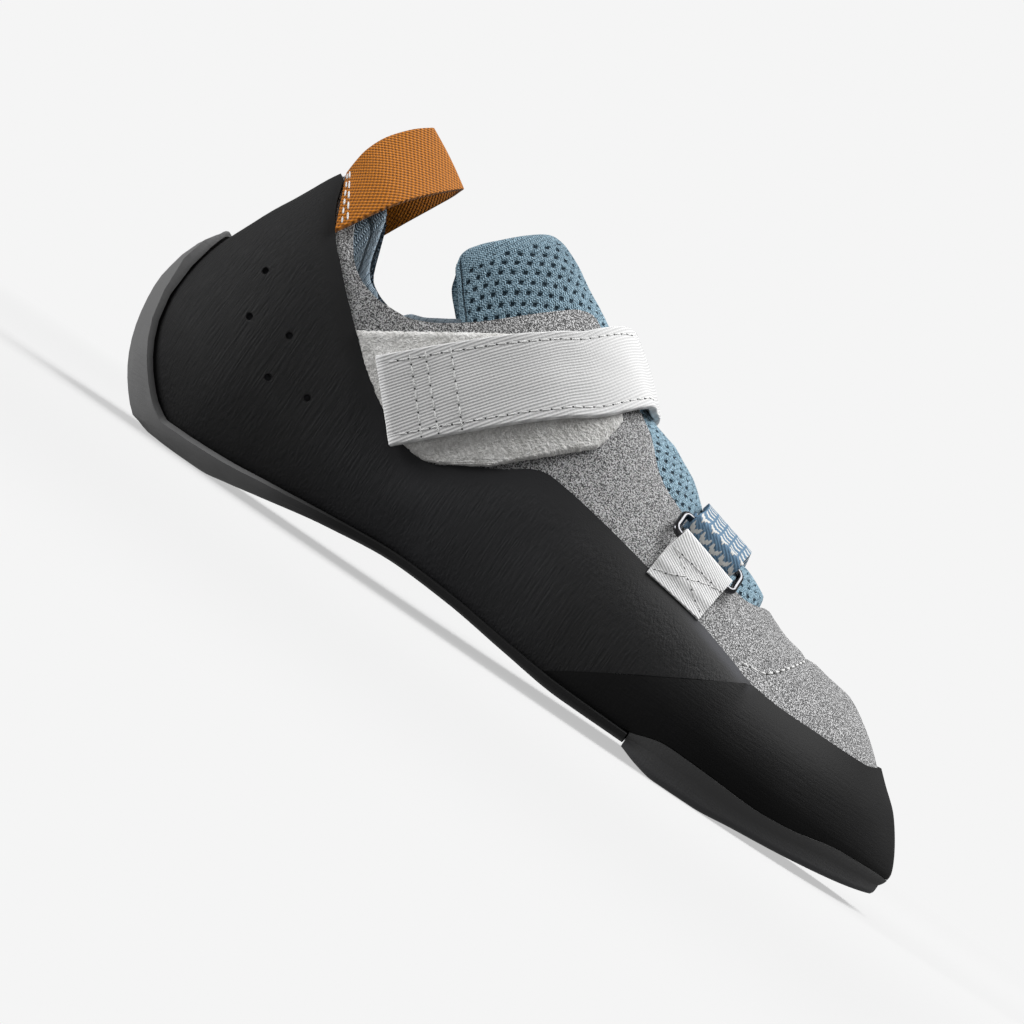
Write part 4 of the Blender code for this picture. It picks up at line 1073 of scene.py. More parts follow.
@dataclass(frozen=True)
class Suede(Finish):
    """Heathered suede: pale and dark fibres side by side, nap over it."""

    dark: Colour = (0.02, 0.02, 0.021)
    light: Colour = (0.91, 0.91, 0.915)

    def dress(self, graph: Graph) -> Inputs:
        """Speckle the fibres and raise the nap."""
        where = graph.place()
        fibre = graph.use(GRAIN, where, 2500.0, 14.0)
        fine = graph.use(GRAIN, where, 4200.0, 9.0)
        swept = graph.use(PATCHES, where, 70.0, 0.35, 0.7)
        mixed = graph.total((fibre, 0.72), (fine, 0.28))
        tone = graph.blend(graph.math("POWER", mixed, 1.3), self.dark, self.light)
        return {"Base Color": graph.blend(graph.times(swept, 0.16), tone, self.dark), "Sheen Weight": 0.25,
                "Sheen Roughness": 0.6, "Specular IOR Level": 0.2, "Normal": graph.bump(mixed, 0.30)}


@dataclass(frozen=True)
class Fleece(Finish):
    """Looped fleece, brushed up in places and pressed in others."""

    pressed: Colour = (0.46, 0.45, 0.43)

    def dress(self, graph: Graph) -> Inputs:
        """Tangle the loops."""
        where = graph.place()
        loops = graph.use(GRAIN, where, 1500.0, 2.4)
        tufts = graph.use(GRAIN, where, 560.0, 3.4)
        swept = graph.use(PATCHES, where, 90.0, 0.4, 0.68)
        mixed = graph.total((loops, 0.6), (tufts, 0.4))
        tone = graph.total((mixed, 0.7), (swept, 0.3), clamp=True)
        return {"Base Color": graph.blend(tone, self.pressed, self.base), "Sheen Weight": 0.4,
                "Specular IOR Level": 0.15, "Normal": graph.bump(mixed, 0.5)}


@dataclass(frozen=True)
class Twill(Finish):
    """Webbing with slanted ribs: colours, rib pitch and slant to the length, and a painted highlight on the
    free end.
    """

    shade: Colour = (0.42, 0.42, 0.41)
    pitch: float = 0.8
    slant: float = 28.0
    cross: float = 0.35
    depth: float = 0.16
    # Colour of the painted highlight along the strap's free end.
    end_highlight: Colour = (1.0, 1.0, 1.0)

    def dress(self, graph: Graph) -> Inputs:
        """Weave the ribs over the cloth's flat map."""
        flat = graph.place(flat=True)
        turn = math.radians(self.slant)
        count = FLAT_UNIT / self.pitch
        sine, cosine = math.sin(turn) * count, math.cos(turn) * count
        ribs = graph.use(LINES, flat, (-sine, cosine, 0.0))
        weft = graph.use(LINES, flat, (0.8 * cosine, 0.8 * sine, 0.0))
        fuzz = graph.use(GRAIN, graph.place(), 1800.0, 1.5)
        weave = graph.total((ribs, 1.0 - self.cross), (weft, self.cross))
        tone = graph.total((weave, 0.75), (fuzz, 0.25))
        woven = graph.blend(tone, self.shade, self.base)
        # The free end is whitened as a painted highlight.
        return {"Base Color": graph.blend(graph.attribute("end_highlight"), woven, self.end_highlight),
                "Sheen Weight": 0.15, "Specular IOR Level": 0.25, "Normal": graph.bump(tone, self.depth)}


@dataclass(frozen=True)
class SpacerMesh(Finish):
    """Knitted spacer mesh: pale strands, with painted shade in the gaps between them, in creases and in the
    holes.
    """

    strand: Colour = (0.40, 0.58, 0.68)
    # Colour of the painted shade.
    gap: Colour = (0.012, 0.035, 0.055)
    columns: float = 1.35
    rows: float = 0.8
    depth: float = 0.32
    fuzz: float = 0.34

    def dress(self, graph: Graph) -> Inputs:
        """Knit the strands and paint shade into the gaps, creases and holes."""
        flat = graph.place(flat=True)
        wales = graph.use(KNIT, flat, FLAT_UNIT / self.columns, FLAT_UNIT / self.rows)
        fuzz = graph.use(GRAIN, graph.place(), 1500.0, 4.6)
        knit = graph.total((wales, 1.0 - self.fuzz), (fuzz, self.fuzz))
        diamond = graph.use(DIAMONDS, flat, HOLE_WIDE, HOLE_TALL)
        # Painted shade: the gaps between strands, the crease mask and the holes all go towards the gap
        # colour.
        shadow = graph.span(knit, 0.10, 0.42, 0.8, 0.0)
        crease = graph.times(graph.attribute("crease"), 0.7)
        pierced = graph.span(graph.attribute("hole"), 0.02, 0.2)
        hole = graph.times(graph.span(diamond, 0.86, 1.04, 1.0, 0.0), pierced)
        tone = graph.blend(knit, self.base, self.strand)
        for dark in (shadow, crease, hole):
            tone = graph.blend(dark, tone, self.gap)
        return {"Base Color": tone, "Sheen Weight": 0.2, "Specular IOR Level": 0.25,
                "Normal": graph.bump(knit, self.depth)}


@dataclass(frozen=True)
class Zigzag(Finish):
    """Woven elastic with rows of plain zigzag in a second colour."""

    figure: Colour = (0.66, 0.66, 0.64)
    shade: Colour = (0.06, 0.11, 0.17)

    def dress(self, graph: Graph) -> Inputs:
        """Weave the zigzag over the band's flat map."""
        flat = graph.place(flat=True)
        parts = graph.add("ShaderNodeSeparateXYZ", {0: flat}).outputs
        run, across = (graph.times(part, FLAT_UNIT) for part in parts[:2])
        saw = graph.math("PINGPONG", across, 2.0)
        row = graph.math("PINGPONG", graph.total((saw, 0.7), plus=run), 1.7)
        broken = graph.use(LINES, flat, (30.0, 120.0, 0.0))
        reach = graph.total((broken, 0.35), plus=row)
        figure = graph.times(graph.span(reach, 0.72, 0.95, 1.0, 0.0), graph.span(saw, 0.2, 0.5))
        ribs = graph.use(LINES, flat, (130.0, 60.0, 0.0))
        fuzz = graph.use(GRAIN, graph.place(), 2200.0, 1.8)
        weave = graph.total((ribs, 0.6), (fuzz, 0.4))
        woven = graph.blend(weave, self.shade, self.base)
        height = graph.total((weave, 0.5), (figure, 0.6))
        return {"Base Color": graph.blend(figure, woven, self.figure), "Specular IOR Level": 0.25,
                "Normal": graph.bump(height, 0.25)}


@dataclass(frozen=True)
class PlatedWire(Finish):
    """Dark plated wire with faint rubbed patches."""

    rubbed: Colour = (0.09, 0.09, 0.095)

    def dress(self, graph: Graph) -> Inputs:
        """Rub the plating."""
        rub = graph.use(PATCHES, graph.place(), 420.0, 0.4, 0.7)
        return {"Base Color": graph.blend(rub, self.base, self.rubbed), "Metallic": 1.0,
                "Roughness": graph.total((rub, 0.12), plus=self.rough)}


@dataclass(frozen=True)
class Thread(Finish):
    """Twisted sewing thread."""

    shaded: float = 0.62

    def dress(self, graph: Graph) -> Inputs:
        """Twist the plies."""
        ply = graph.use(SCORES, graph.place(), (2600.0, 2600.0, 2600.0), 2.0)
        dark = tuple(self.shaded * value for value in self.base)
        return {"Base Color": graph.blend(ply, dark, self.base), "Normal": graph.bump(ply, 0.06)}


RAND_RUBBER = Rubber("scored_rubber", (0.014, 0.014, 0.0145), 0.6)
TOE_RUBBER = Rubber("toe_rubber", (0.004, 0.004, 0.0042), 0.68, worn=(0.012, 0.012, 0.0125), score=0.2)
SOLE_RUBBER = Rubber("slab_rubber", (0.095, 0.095, 0.096), 0.55, worn=(0.105, 0.105, 0.106), score=0.2,
                     edge=-5.0)
# The heel strip's pale colour is painted light from the side on the back of the heel.
HEEL_RUBBER = Rubber("strip_rubber", (0.022, 0.022, 0.0225), 0.6, pale=(0.24, 0.24, 0.241), score=0.15,
                     edge=-5.0)
SUEDE = Suede("heather_suede", (0.36, 0.36, 0.36), 0.95)
LINING = Twill("lining", (0.13, 0.22, 0.29), 0.9, shade=(0.05, 0.09, 0.13), pitch=1.1)
FLEECE = Fleece("loop_fleece", (0.95, 0.945, 0.93), 0.95)
STRAP_TWILL = Twill("strap_twill", (0.85, 0.85, 0.845), 0.85, shade=(0.56, 0.56, 0.56), pitch=0.82,
                    slant=-9.0, cross=0.12)
TAB_TWILL = Twill("tab_twill", (0.98, 0.98, 0.98), 0.85, shade=(0.62, 0.62, 0.62), pitch=0.7,
                  slant=68.0, cross=0.1)
LOOP_TWILL = Twill("loop_twill", (0.80, 0.26, 0.005), 0.7, shade=(0.035, 0.007, 0.0003), pitch=0.85,
                   slant=32.0, cross=0.4, depth=0.3)
TONGUE_MESH = SpacerMesh("tongue_mesh", (0.055, 0.165, 0.255), 0.9, strand=(0.54, 0.75, 0.87))
CUFF_MESH = SpacerMesh("cuff_mesh", (0.05, 0.11, 0.18), 0.9, strand=(0.66, 0.82, 0.95), columns=2.3,
                       rows=1.05, depth=0.6, fuzz=0.18)
BAND_WEAVE = Zigzag("band_weave", (0.18, 0.31, 0.45), 0.85)
BOARD = Fleece("felt_board", (0.38, 0.35, 0.30), 0.9, pressed=(0.25, 0.22, 0.18))
WIRE = PlatedWire("plated_wire", (0.09, 0.09, 0.095), 0.1)
PALE_THREAD = Thread("pale_thread", (0.95, 0.95, 0.94), 0.7)
# Dark marks at the needle holes: painted shade.
PRICK = Thread("needle_hole_shade", (0.07, 0.07, 0.07), 0.9)


@dataclass
class Stitching:
    """Rows of sewn stitches, gathered into one mesh.

    Attributes:
        name: name of the piece that the rows become.
        length: length of one stitch in millimetres.
        gap: space between two stitches.
        radius: half the thread's width.
        spots: three half axes and the middle of each stitch, as columns.
        pricks: the same for the dark marks of painted shade at the needle's holes.
    """

    name: str
    length: float
    gap: float
    radius: float
    spots: list[Array] = field(default_factory=list)
    pricks: list[Array] = field(default_factory=list)

    def sew(self, path: Array, out: Array, rise: float = 0.0) -> None:
        """Sew one row.

        Args:
            path: points of the row in millimetres.
            out: outward direction at each point.
            rise: how far the thread's middle stands off the path.
        """
        length = row_length(path)
        count = int((length[-1] + self.gap) / (self.length + self.gap))
        if count < 1:
            return
        pitch = (length[-1] + self.gap) / count
        half = 0.5 * (pitch - self.gap)
        for k in range(count):
            middle = k * pitch + half
            low, spot, high = (sample(length, path, at) for at in (middle - half, middle, middle + half))
            ahead = unit(high - low)
            side = unit(np.cross(unit(sample(length, out, middle)), ahead))
            up = np.cross(ahead, side)
            stitch = (ahead * half, side * self.radius, up * self.radius, spot + up * rise)
            prick = (ahead * 0.3 * self.gap, side * 1.1 * self.radius, up * 0.4 * self.radius,
                     high + ahead * 0.5 * self.gap + up * rise)
            self.spots.append(np.stack(stitch, axis=1))
            self.pricks.append(np.stack(prick, axis=1))

    @staticmethod
    def copies(name: str, spots: list[Array]) -> Piece:
        """Model one stitch and copy it to every spot, joined in one mesh.

        Args:
            name: name of the joined piece.
            spots: for each copy its three half axes and its middle, as columns.

        Returns:
            The joined copies.
        """
        deselect()
        bpy.ops.mesh.primitive_uv_sphere_add(segments=8, ring_count=7, radius=1.0)
        piece = named(name)
        with editing():
            bpy.ops.transform.rotate(value=math.pi / 2.0, orient_axis="Y", center_override=(0.0, 0.0, 0.0))
        one = np.array([v.co[:] for v in piece.data.vertices])
        plump = np.sqrt(np.maximum(1e-6, 1.0 - np.abs(one[:, 0]) ** 3.0))
        size = np.maximum(np.hypot(one[:, 1], one[:, 2]), 1e-6)
        one[:, 1:] *= (plump / size)[:, None] * (size > 1e-5)[:, None]
        faces = [tuple(p.vertices) for p in piece.data.polygons]
        verts = np.concatenate([one @ spot[:3, :3].T + spot[:3, 3] for spot in spots])
        every = [tuple(index + k * len(one) for index in face) for k in range(len(spots)) for face in faces]
        piece.data.clear_geometry()
        piece.data.from_pydata(scene_points(verts).tolist(), [], every)
        piece.data.update()
        smooth(piece, 80.0)
        return piece


class Shoe:
    """What the pieces share: the last, and how a finished piece joins the frame."""

    def __init__(self) -> None:
        """Start with no piece made."""
        self.last = Last()
        self.pieces: list[Piece] = []
        self.materials: dict[str, bpy.types.Material] = {}

    def dress(self, piece: Piece, finishes: Sequence[Finish], slot: str, *nodes: str) -> None:
        """Give a piece its materials and put it on the frame.

        Args:
            piece: the finished mesh.
            finishes: one finish for each material slot.
            slot: the record's material slot; not used.
            *nodes: names of the solids that the piece stands for.
        """
        indices = np.zeros(len(piece.data.polygons), np.int32)
        piece.data.polygons.foreach_get("material_index", indices)
        piece.data.materials.clear()
        for finish in finishes:
            if finish.name not in self.materials:
                self.materials[finish.name] = finish.material()
            piece.data.materials.append(self.materials[finish.name])
        piece.data.polygons.foreach_set("material_index", np.minimum(indices, len(finishes) - 1))
        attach(piece, BODY)
        if nodes:
            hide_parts(*nodes)
        self.pieces.append(piece)
        LOG.info("%s: %d faces", piece.name, len(piece.data.polygons))

    def sewn(self, rows: Stitching, slot: str, pricked: bool = True) -> None:
        """Dress the threads of finished rows and the dark marks of painted shade at the needle's holes
        between them.
        """
        self.dress(rows.copies(rows.name, rows.spots), (PALE_THREAD,), slot)
        if pricked:
            self.dress(rows.copies(rows.name + "_pricks", rows.pricks), (PRICK,), slot)


def two_slots(piece: Piece) -> None:
    """Give a sheet two empty material slots before it is thickened."""
    while len(piece.data.materials) < 2:
        piece.data.materials.append(None)


class Fold(NamedTuple):
    """A crease beside the vamp's seam: its distance, its width, and its share of the depth."""

    off: float
    width: float
    height: float


@dataclass
class Upper:
    """The suede upper: one wall, open at the collar, at the throat and underneath."""

    shoe: Shoe
    steps: int = 74
    crease: float = 0.55
    inside: Spot = (130.0, 0.0, 30.0)
    trough: Pairs = ((40.0, 195.4), (40.6, 201.9), (42.9, 204.7), (46.6, 207.6), (50.0, 209.8))
    folds: tuple[Fold, ...] = (Fold(0.0, 1.3, -1.0), Fold(3.6, 2.2, 0.35), Fold(-3.8, 2.4, 0.28))

    def build(self) -> None:
        """Lay the suede over the last, crease it and line it."""
        last = self.shoe.last
        points = np.array([last.skin(*rib, np.linspace(0.0, last.collar_level(*rib), self.steps))
                           for rib in last.perimeter()])
        cloth = Cloth(points)
        cloth.raise_by(self.creases(points), self.inside)
        piece = cloth.lay("suede_upper", self.inside)
        two_slots(piece)
        thicken(piece, WALL, -1.0, inner_slot=1)
        smooth(piece)
        self.shoe.dress(piece, (SUEDE, LINING), "suede", "upper")

    def creases(self, points: Array) -> Array:
        """Soft troughs and ridges of the worn suede.

        Args:
            points: places on the skin.

        Returns:
            Height at each place, in millimetres.
        """
        x, z = points[..., 0], points[..., 2]
        off = x - np.interp(z, *zip(*self.trough))
        high = ease(z, 36.0, 41.0)
        folds = sum(fold.height * bell(off, fold.off, fold.width) for fold in self.folds)
        height = self.crease * high * folds
        vamp = ease(x, 176.0, 190.0) * high
        height += 0.22 * vamp * np.sin((x + 0.7 * z) / 5.2) * bell(x, 187.0, 14.0)
        height += 0.16 * ripple(points, 34.0, 0.7) * ease(z, 30.0, 44.0)
        return height - hollow(points)


@dataclass
class Rand:
    """The rubber rand in two pieces that meet at a slanted seam."""

    shoe: Shoe
    steps: int = 52
    skive: float = 15.0
    edge: float = 0.34
    seam_gap: float = 0.0011
    heel_inside: Spot = (90.0, 0.0, 40.0)
    toe_inside: Spot = (220.0, 8.0, 20.0)
    holes: Pairs = ((28.1, 55.4), (31.7, 42.7), (43.6, 44.4), (45.2, 31.8), (57.3, 33.1))
    hole_bottom: float = 0.75
    hole_mouth: float = 1.25
    hole_depth: float = 2.2
    hole_sink: float = 0.25

    def heel(self) -> None:
        """Rand round the heel and along both sides."""
        last = self.shoe.last

        def low(hand: Side, place: float) -> float:
            """Lower edge: the sole, then the seam."""
            bottom = last.rand_low(hand, place)
            if place < last.station(SEAM_START):
                return bottom
            return max(bottom, last.level_under(hand, place, SEAM) + self.seam_gap)

        ribs = last.perimeter(0.0, last.station(SEAM_STOP))
        piece = self.sheet("heel_rand_rubber", ribs, low, last.rand_high, self.heel_inside)
        self.pierce(piece)
        smooth(piece)
        self.shoe.dress(piece, (RAND_RUBBER,), "rand_rubber", "heel_rand")

    def toe(self) -> None:
        """Rand round the toe, under the slanted seam."""
        last = self.shoe.last

        def high(hand: Side, place: float) -> float:
            """Upper edge: the seam, then the rand's own top."""
            if place > last.station(SEAM_STOP):
                return last.rand_high(hand, place)
            seam = last.level_under(hand, place, SEAM) - self.seam_gap
            return max(last.rand_low(hand, place) + 0.012, seam)

        ribs = last.perimeter(last.station(SEAM_START), 3.0)
        turn = last.station(SEAM_STOP)
        ribs += [(hand, turn + step) for hand in Side for step in (0.0, 5e-4)]
        ribs.sort(key=lambda rib: rib[1] if rib[0] == Side.LATERAL else 6.0 - rib[1])
        piece = self.sheet("toe_rand_rubber", ribs, last.rand_low, high, self.toe_inside)
        smooth(piece)
        self.shoe.dress(piece, (TOE_RUBBER,), "rand_rubber", "toe_rand")

    def sheet(self, name: str, ribs: Ribs, low: Level, high: Level, inside: Spot) -> Piece:
        """One piece of the rand, thinned to an edge along its top.

        Args:
            name: name of the piece.
            ribs: sides and places in order.
            low: level of the lower edge.
            high: level of the upper edge.
            inside: a point inside the shoe.

        Returns:
            The walled piece.
        """
        last = self.shoe.last
        rows, gaps = [], []
        for hand, place in ribs:
            level = np.linspace(low(hand, place), high(hand, place), self.steps)
            row = last.lifted(hand, place, level, CLEAR)
            length = row_length(row)
            rim = high(hand, place) > last.rand_high(hand, place) - 0.02
            rows.append(row)
            gaps.append(length[-1] - length if rim else np.full(self.steps, NO_EDGE))
        points, gap = np.array(rows), np.array(gaps)
        places = np.array([place for _, place in ribs])[:, None]
        behind = ease(places, 0.75, 0.2) * ease(points[..., 2], 55.0, 68.0)
        tip = ease(places, 2.7, 2.95) * ease(gap, 13.0, 2.0)
        weights = ease(gap, -4.0, self.skive) * (1.0 - 0.7 * tip) * (1.0 - 0.75 * behind)
        x = points[..., 0]
        rubbed = ease(gap, 4.6, 1.2) * ease(x, 172.0, 184.0) * ease(x, 203.0, 195.0)
        # Paler along the middle of the rand.
        middle_paler = ease(x, 55.0, 85.0) * ease(x, 160.0, 120.0)
        cloth = Cloth(points, masks={"edge": gap, "pale": 0.9 * rubbed + 0.16 * middle_paler}, weights=weights)
        cloth.raise_by(0.12 * ripple(points, 40.0, 2.1) - hollow(points), inside)
        piece = cloth.lay(name, inside)
        thicken(piece, RAND_THICK, 1.0, least=self.edge)
        return piece

    def pierce(self, piece: Piece) -> None:
        """Sink the small moulded holes into both sides of the heel."""
        last = self.shoe.last
        cutters = []
        for hand in Side:
            for x, z in self.holes:
                spot, out = last.seen(hand, x, z, CLEAR + RAND_THICK - self.hole_sink)
                deselect()
                bpy.ops.mesh.primitive_cone_add(vertices=20, radius1=self.hole_bottom * MM,
                                                radius2=self.hole_mouth * MM, depth=self.hole_depth * MM)
                turn = Vector(out).to_track_quat("Z", "Y").to_matrix().to_4x4()
                turn.translation = Vector(scene_points(spot))
                bpy.context.object.data.transform(turn)
                cutters.append(bpy.context.object)
        deselect()
        for cutter in cutters:
            cutter.select_set(True)
        bpy.context.view_layer.objects.active = cutters[0]
        bpy.ops.object.join()
        tool = cutters[0]
        apply(piece, "BOOLEAN", object=tool, operation="DIFFERENCE", solver="EXACT")
        bpy.data.objects.remove(tool)


@dataclass
class Soles:
    """The rear sole with its heel strip, the forefoot slab, and the insole board."""

    shoe: Shoe
    climb: int = 16
    bead: float = 0.006
    bevel: Pairs = ((0.0, 2.0), (0.03, 1.1), (0.15, 0.35), (0.4, 0.0))

    def rear(self) -> None:
        """Rear sole, from the strip up the heel to the arch."""
        last = self.shoe.last
        outside = RAND_THICK + 3.2 * CLEAR
        rows = []
        for hand, place in last.perimeter(0.0, last.station(SOLE_SPLIT - 0.4), 2.0):
            rib = last.rib(hand, place)
            lifted, under = partial(last.lifted, hand, place), partial(last.sole_point, hand, place)
            thin = min(1.0, max(0.0, (rib.along - 45.0) / 40.0))
            wall = outside + STRIP_THICK + (0.7 - STRIP_THICK) * thin
            lip = HEEL_RIM + LIP
            if place < 1.0:
                lip = max(lip, last.level_at(hand, place, HEEL_STRIP(rib.angle)))
            rise = np.linspace(HEEL_RIM, lip, self.climb)
            inset = 0.35 * (wall - outside)
            turned = HEEL_RIM * np.array([0.72, 0.5, 0.3])
            corner = lifted(turned, wall + self.swell(hand, place, turned))
            corner[:, 2] = np.maximum(corner[:, 2], HEEL_FLOOR(rib.along) + np.array([1.4, 0.75, 0.3]))
            rows.append(np.concatenate([
                [under(part, FEATHER, -CLEAR) for part in (0.0, 0.3, 0.6, 0.85)],
                lifted(np.linspace(0.0, HEEL_RIM, 5), CLEAR),
                lifted(rise, outside),
                lifted(np.full(2, lip + self.bead), np.array([outside + inset, wall - inset])),
                lifted(rise[::-1], wall + self.swell(hand, place, rise[::-1])),
                corner,
                [corner[-1] * 0.45 + under(0.98, HEEL_FLOOR) * 0.55 + np.array([0.0, 0.0, 0.06])],
                [under(part, HEEL_FLOOR) for part in (0.96, 0.8, 0.55, 0.3, 0.0)]]))
        self.close("rear_sole", rows, HEEL_RUBBER, "heel_sole")

    def swell(self, hand: Side, place: float, level: Array) -> Array:
        """How much thicker the heel strip is at some levels, and thinner at its lip."""
        z = self.shoe.last.skin(hand, place, level)[:, 2]
        more = bell(z, 46.0, 7.0) - 1.3 * ease(z, 52.0, 58.0) + 1.1 * bell(z, 5.0, 4.0)
        return more * ease(place, 0.8, 0.35)

    def fore(self) -> None:
        """Forefoot slab with its bevelled lower edge."""
        last = self.shoe.last
        wall = CLEAR + RAND_THICK + 0.1
        rows = []
        for hand, place in last.perimeter(last.station(SOLE_SPLIT), 3.0, 1.8):
            lifted, under = partial(last.lifted, hand, place), partial(last.sole_point, hand, place)
            floor = FORE_FLOOR(last.rib(hand, place).along)
            rim = last.level_under(hand, place, FORE_EDGE)
            side, inner = lifted(0.5 * rim, wall)[0, :2], under(0.97, FORE_FLOOR)[:2]
            rows.append(np.concatenate([
                [under(part, FEATHER, -CLEAR) for part in (0.0, 0.35, 0.7, 0.9)],
                lifted(np.linspace(0.0, rim, 6), CLEAR),
                lifted(np.full(2, rim + self.bead), np.array([CLEAR + 0.6, wall - 0.5])),
                lifted(np.linspace(rim, 0.5 * rim, 8), wall),
                [[*(side * (1.0 - share) + inner * share), floor + rise] for share, rise in self.bevel],
                [under(part, FORE_FLOOR) for part in (0.85, 0.6, 0.3, 0.0)]]))
        self.close("forefoot_slab", rows, SOLE_RUBBER, "forefoot_sole")

    def close(self, name: str, rows: list[Array], finish: Finish, node: str) -> None:
        """Lay a sole's rows, close its end and dress it.

        Args:
            name: name of the piece.
            rows: points of each rib, from the spine on top to the spine below.
            finish: the rubber.
            node: the solid that the piece stands for.
        """
        points = np.array(rows)
        # Paler towards the back of the heel strip, as painted light from the side, and paler along the lower
        # corner.
        low = np.zeros(points.shape[:2])
        low[:, -8:-5] = np.array([0.35, 0.8, 0.3])
        pale = np.maximum(ease(points[..., 0], 88.0, 46.0), 0.5 * low)
        masks = {"edge": np.full(points.shape[:2], NO_EDGE), "pale": pale}
        piece = Cloth(points, masks=masks).lay(name)
        close_ends(piece)
        smooth(piece, 34.0)
        self.shoe.dress(piece, (finish,), "sole_rubber", node)

    def insole(self) -> None:
        """Insole board inside the shoe, its rim rounded."""
        last = self.shoe.last
        rows = []
        for hand, place in last.perimeter(pitch=2.4):
            rib = last.rib(hand, place)
            share = 1.0 - INSOLE_INSET / rib.foot
            top = [(part, INSOLE_THICK) for part in (0.0, 0.3, 0.6, share - 0.03)]
            rim = [(share, INSOLE_THICK - 0.6), (share, 0.5)]
            under = [(part, 0.0) for part in (share - 0.02, 0.5, 0.0)]
            heights = top + rim + under
            rows.append([last.sole_point(hand, place, part, FEATHER, rise) for part, rise in heights])
        piece = Cloth(np.array(rows)).lay("insole_felt")
        smooth(piece)
        self.shoe.dress(piece, (BOARD,), "insole_board", "insole")


class TongueRow(NamedTuple):
    """Tongue: half width as a share of girth, and how far its middle rises."""

    along: float
    half: float
    rise: float


@dataclass
class Tongue:
    """The padded mesh tongue with its rolled edge and rows of holes."""

    shoe: Shoe
    inside: Spot = (120.0, 0.0, 20.0)
    rows: tuple[TongueRow, ...] = tuple(starmap(TongueRow, (
        (68.3, 0.495, 0.5), (69.5, 0.522, 0.5), (72.6, 0.560, 0.5), (77.9, 0.622, 0.5), (84.9, 0.678, 0.5),
        (95.0, 0.69, 0.7), (115.0, 0.62, 0.8), (130.0, 0.57, 0.4), (139.0, 0.55, 0.8), (143.0, 0.54, 1.8),
        (147.0, 0.53, 3.0), (151.0, 0.515, 3.2), (155.0, 0.50, 3.5), (166.0, 0.49, 1.8), (175.0, 0.46, 2.4),
        (183.0, 0.44, 4.4), (189.5, 0.42, 4.0), (193.0, 0.41, 0.0), (200.0, 0.40, 0.0))))
    start: Pairs = (
        (0.0, 84.6), (0.234, 81.5), (0.563, 74.7), (0.751, 70.8), (0.88, 68.9), (0.955, 68.5), (1.0, 69.4))
    front: float = 198.0
    across: int = 210
    down: int = 230
    hole_size: float = 0.95
    roll: float = 1.8

    def build(self) -> None:
        """Pad the tongue, roll its edge and dent its rows of holes."""
        last = self.shoe.last
        half = Curve([(row.along, row.half) for row in self.rows])
        rise = Curve([(row.along, row.rise) for row in self.rows])
        start = Curve(self.start)
        parts = np.linspace(-1.0, 1.0, self.across)[:, None]
        begin = start(np.abs(parts))
        along = begin + (self.front - begin) * np.linspace(0.0, 1.0, self.down)[None, :]
        share = parts * half(along)
        throat = self.throat()
        edge = np.where(share > 0.0, throat[Side.MEDIAL](along), throat[Side.LATERAL](along))
        crown = np.clip(1.0 - (share / np.maximum(edge, 1e-3)) ** 2, 0.0, 1.0) ** 0.7
        skin, out = last.spread(along, share)
        points = skin + out * (rise(along) * crown - WALL - CLEAR - 0.4)[..., None]
        down, across = self.runs(points)
        flat = np.stack([down - down[:, -1:], across - across[len(points) // 2]], axis=-1)
        side = np.minimum(across, across[-1] - across)
        inset = np.minimum(np.minimum(down, side), down[:, -1:] - down)
        hole = self.holes(flat, inset)
        roll = rolled(inset, self.roll)
        groove = bell(side, 3.4, 0.6) * ease(inset, 0.6, 2.6)
        # Painted shade, carried by the crease mask: the groove beside the rolled edge, and the tongue's upper
        # part darker towards the collar.
        shaded = np.maximum(groove, 0.46 * ease(along, 120.0, 84.0))
        corner = ease(side, 6.0, 2.0) * ease(down, 9.0, 1.0)
        masks = {"hole": hole, "crease": shaded}
        cloth = Cloth(points, flat=flat, masks=masks, weights=roll * (1.0 - corner))
        height = -(1.0 - roll) * 0.4 * TONGUE_THICK - 0.8 * groove - 0.6 * hole
        height += 0.18 * ripple(points, 24.0, 1.3) * ease(inset, 3.0, 9.0)
        cloth.raise_by(height, self.inside)
        piece = cloth.lay("tongue_pad", self.inside)
        thicken(piece, TONGUE_THICK, -1.0, least=0.12)
        smooth(piece, 60.0)
        self.shoe.dress(piece, (TONGUE_MESH,), "spacer_mesh", "tongue")

    def throat(self) -> dict[Side, Curve]:
        """Share of girth from the crest to the throat's edge, on each side."""
        last = self.shoe.last
        stops = np.linspace(64.0, 200.0, 137)
        return {hand: Curve([(x, 2.0 - last.collar_level(hand, last.station(x))) for x in stops])
                for hand in Side}

    @staticmethod
    def runs(points: Array) -> Iterator[Array]:
        """Length to each point down the tongue, and across it."""
        for axis in (1, 0):
            steps = np.diff(points, axis=axis, prepend=np.take(points, [0], axis))
            yield np.cumsum(np.linalg.norm(steps, axis=2), axis=axis)

    def holes(self, flat: Array, inset: Array) -> Array:
        """Diamond holes in staggered rows.

        Args:
            flat: millimetres along and across the tongue.
            inset: distance from the free edges.

        Returns:
            1 in a hole, 0 between.
        """
        best = np.full(flat.shape[:2], 9.0)
        for shift in HOLE_SHIFTS:
            u = (flat[..., 0] / HOLE_TALL + shift) % 1.0 - 0.5
            v = (flat[..., 1] / HOLE_WIDE + shift) % 1.0 - 0.5
            best = np.minimum(best, np.abs(u) * HOLE_TALL * HOLE_ALONG + np.abs(v) * HOLE_WIDE * HOLE_ACROSS)
        return (1.0 - ease(best, 0.75 * self.hole_size, 1.3 * self.hole_size)) * ease(inset, 4.4, 5.2)


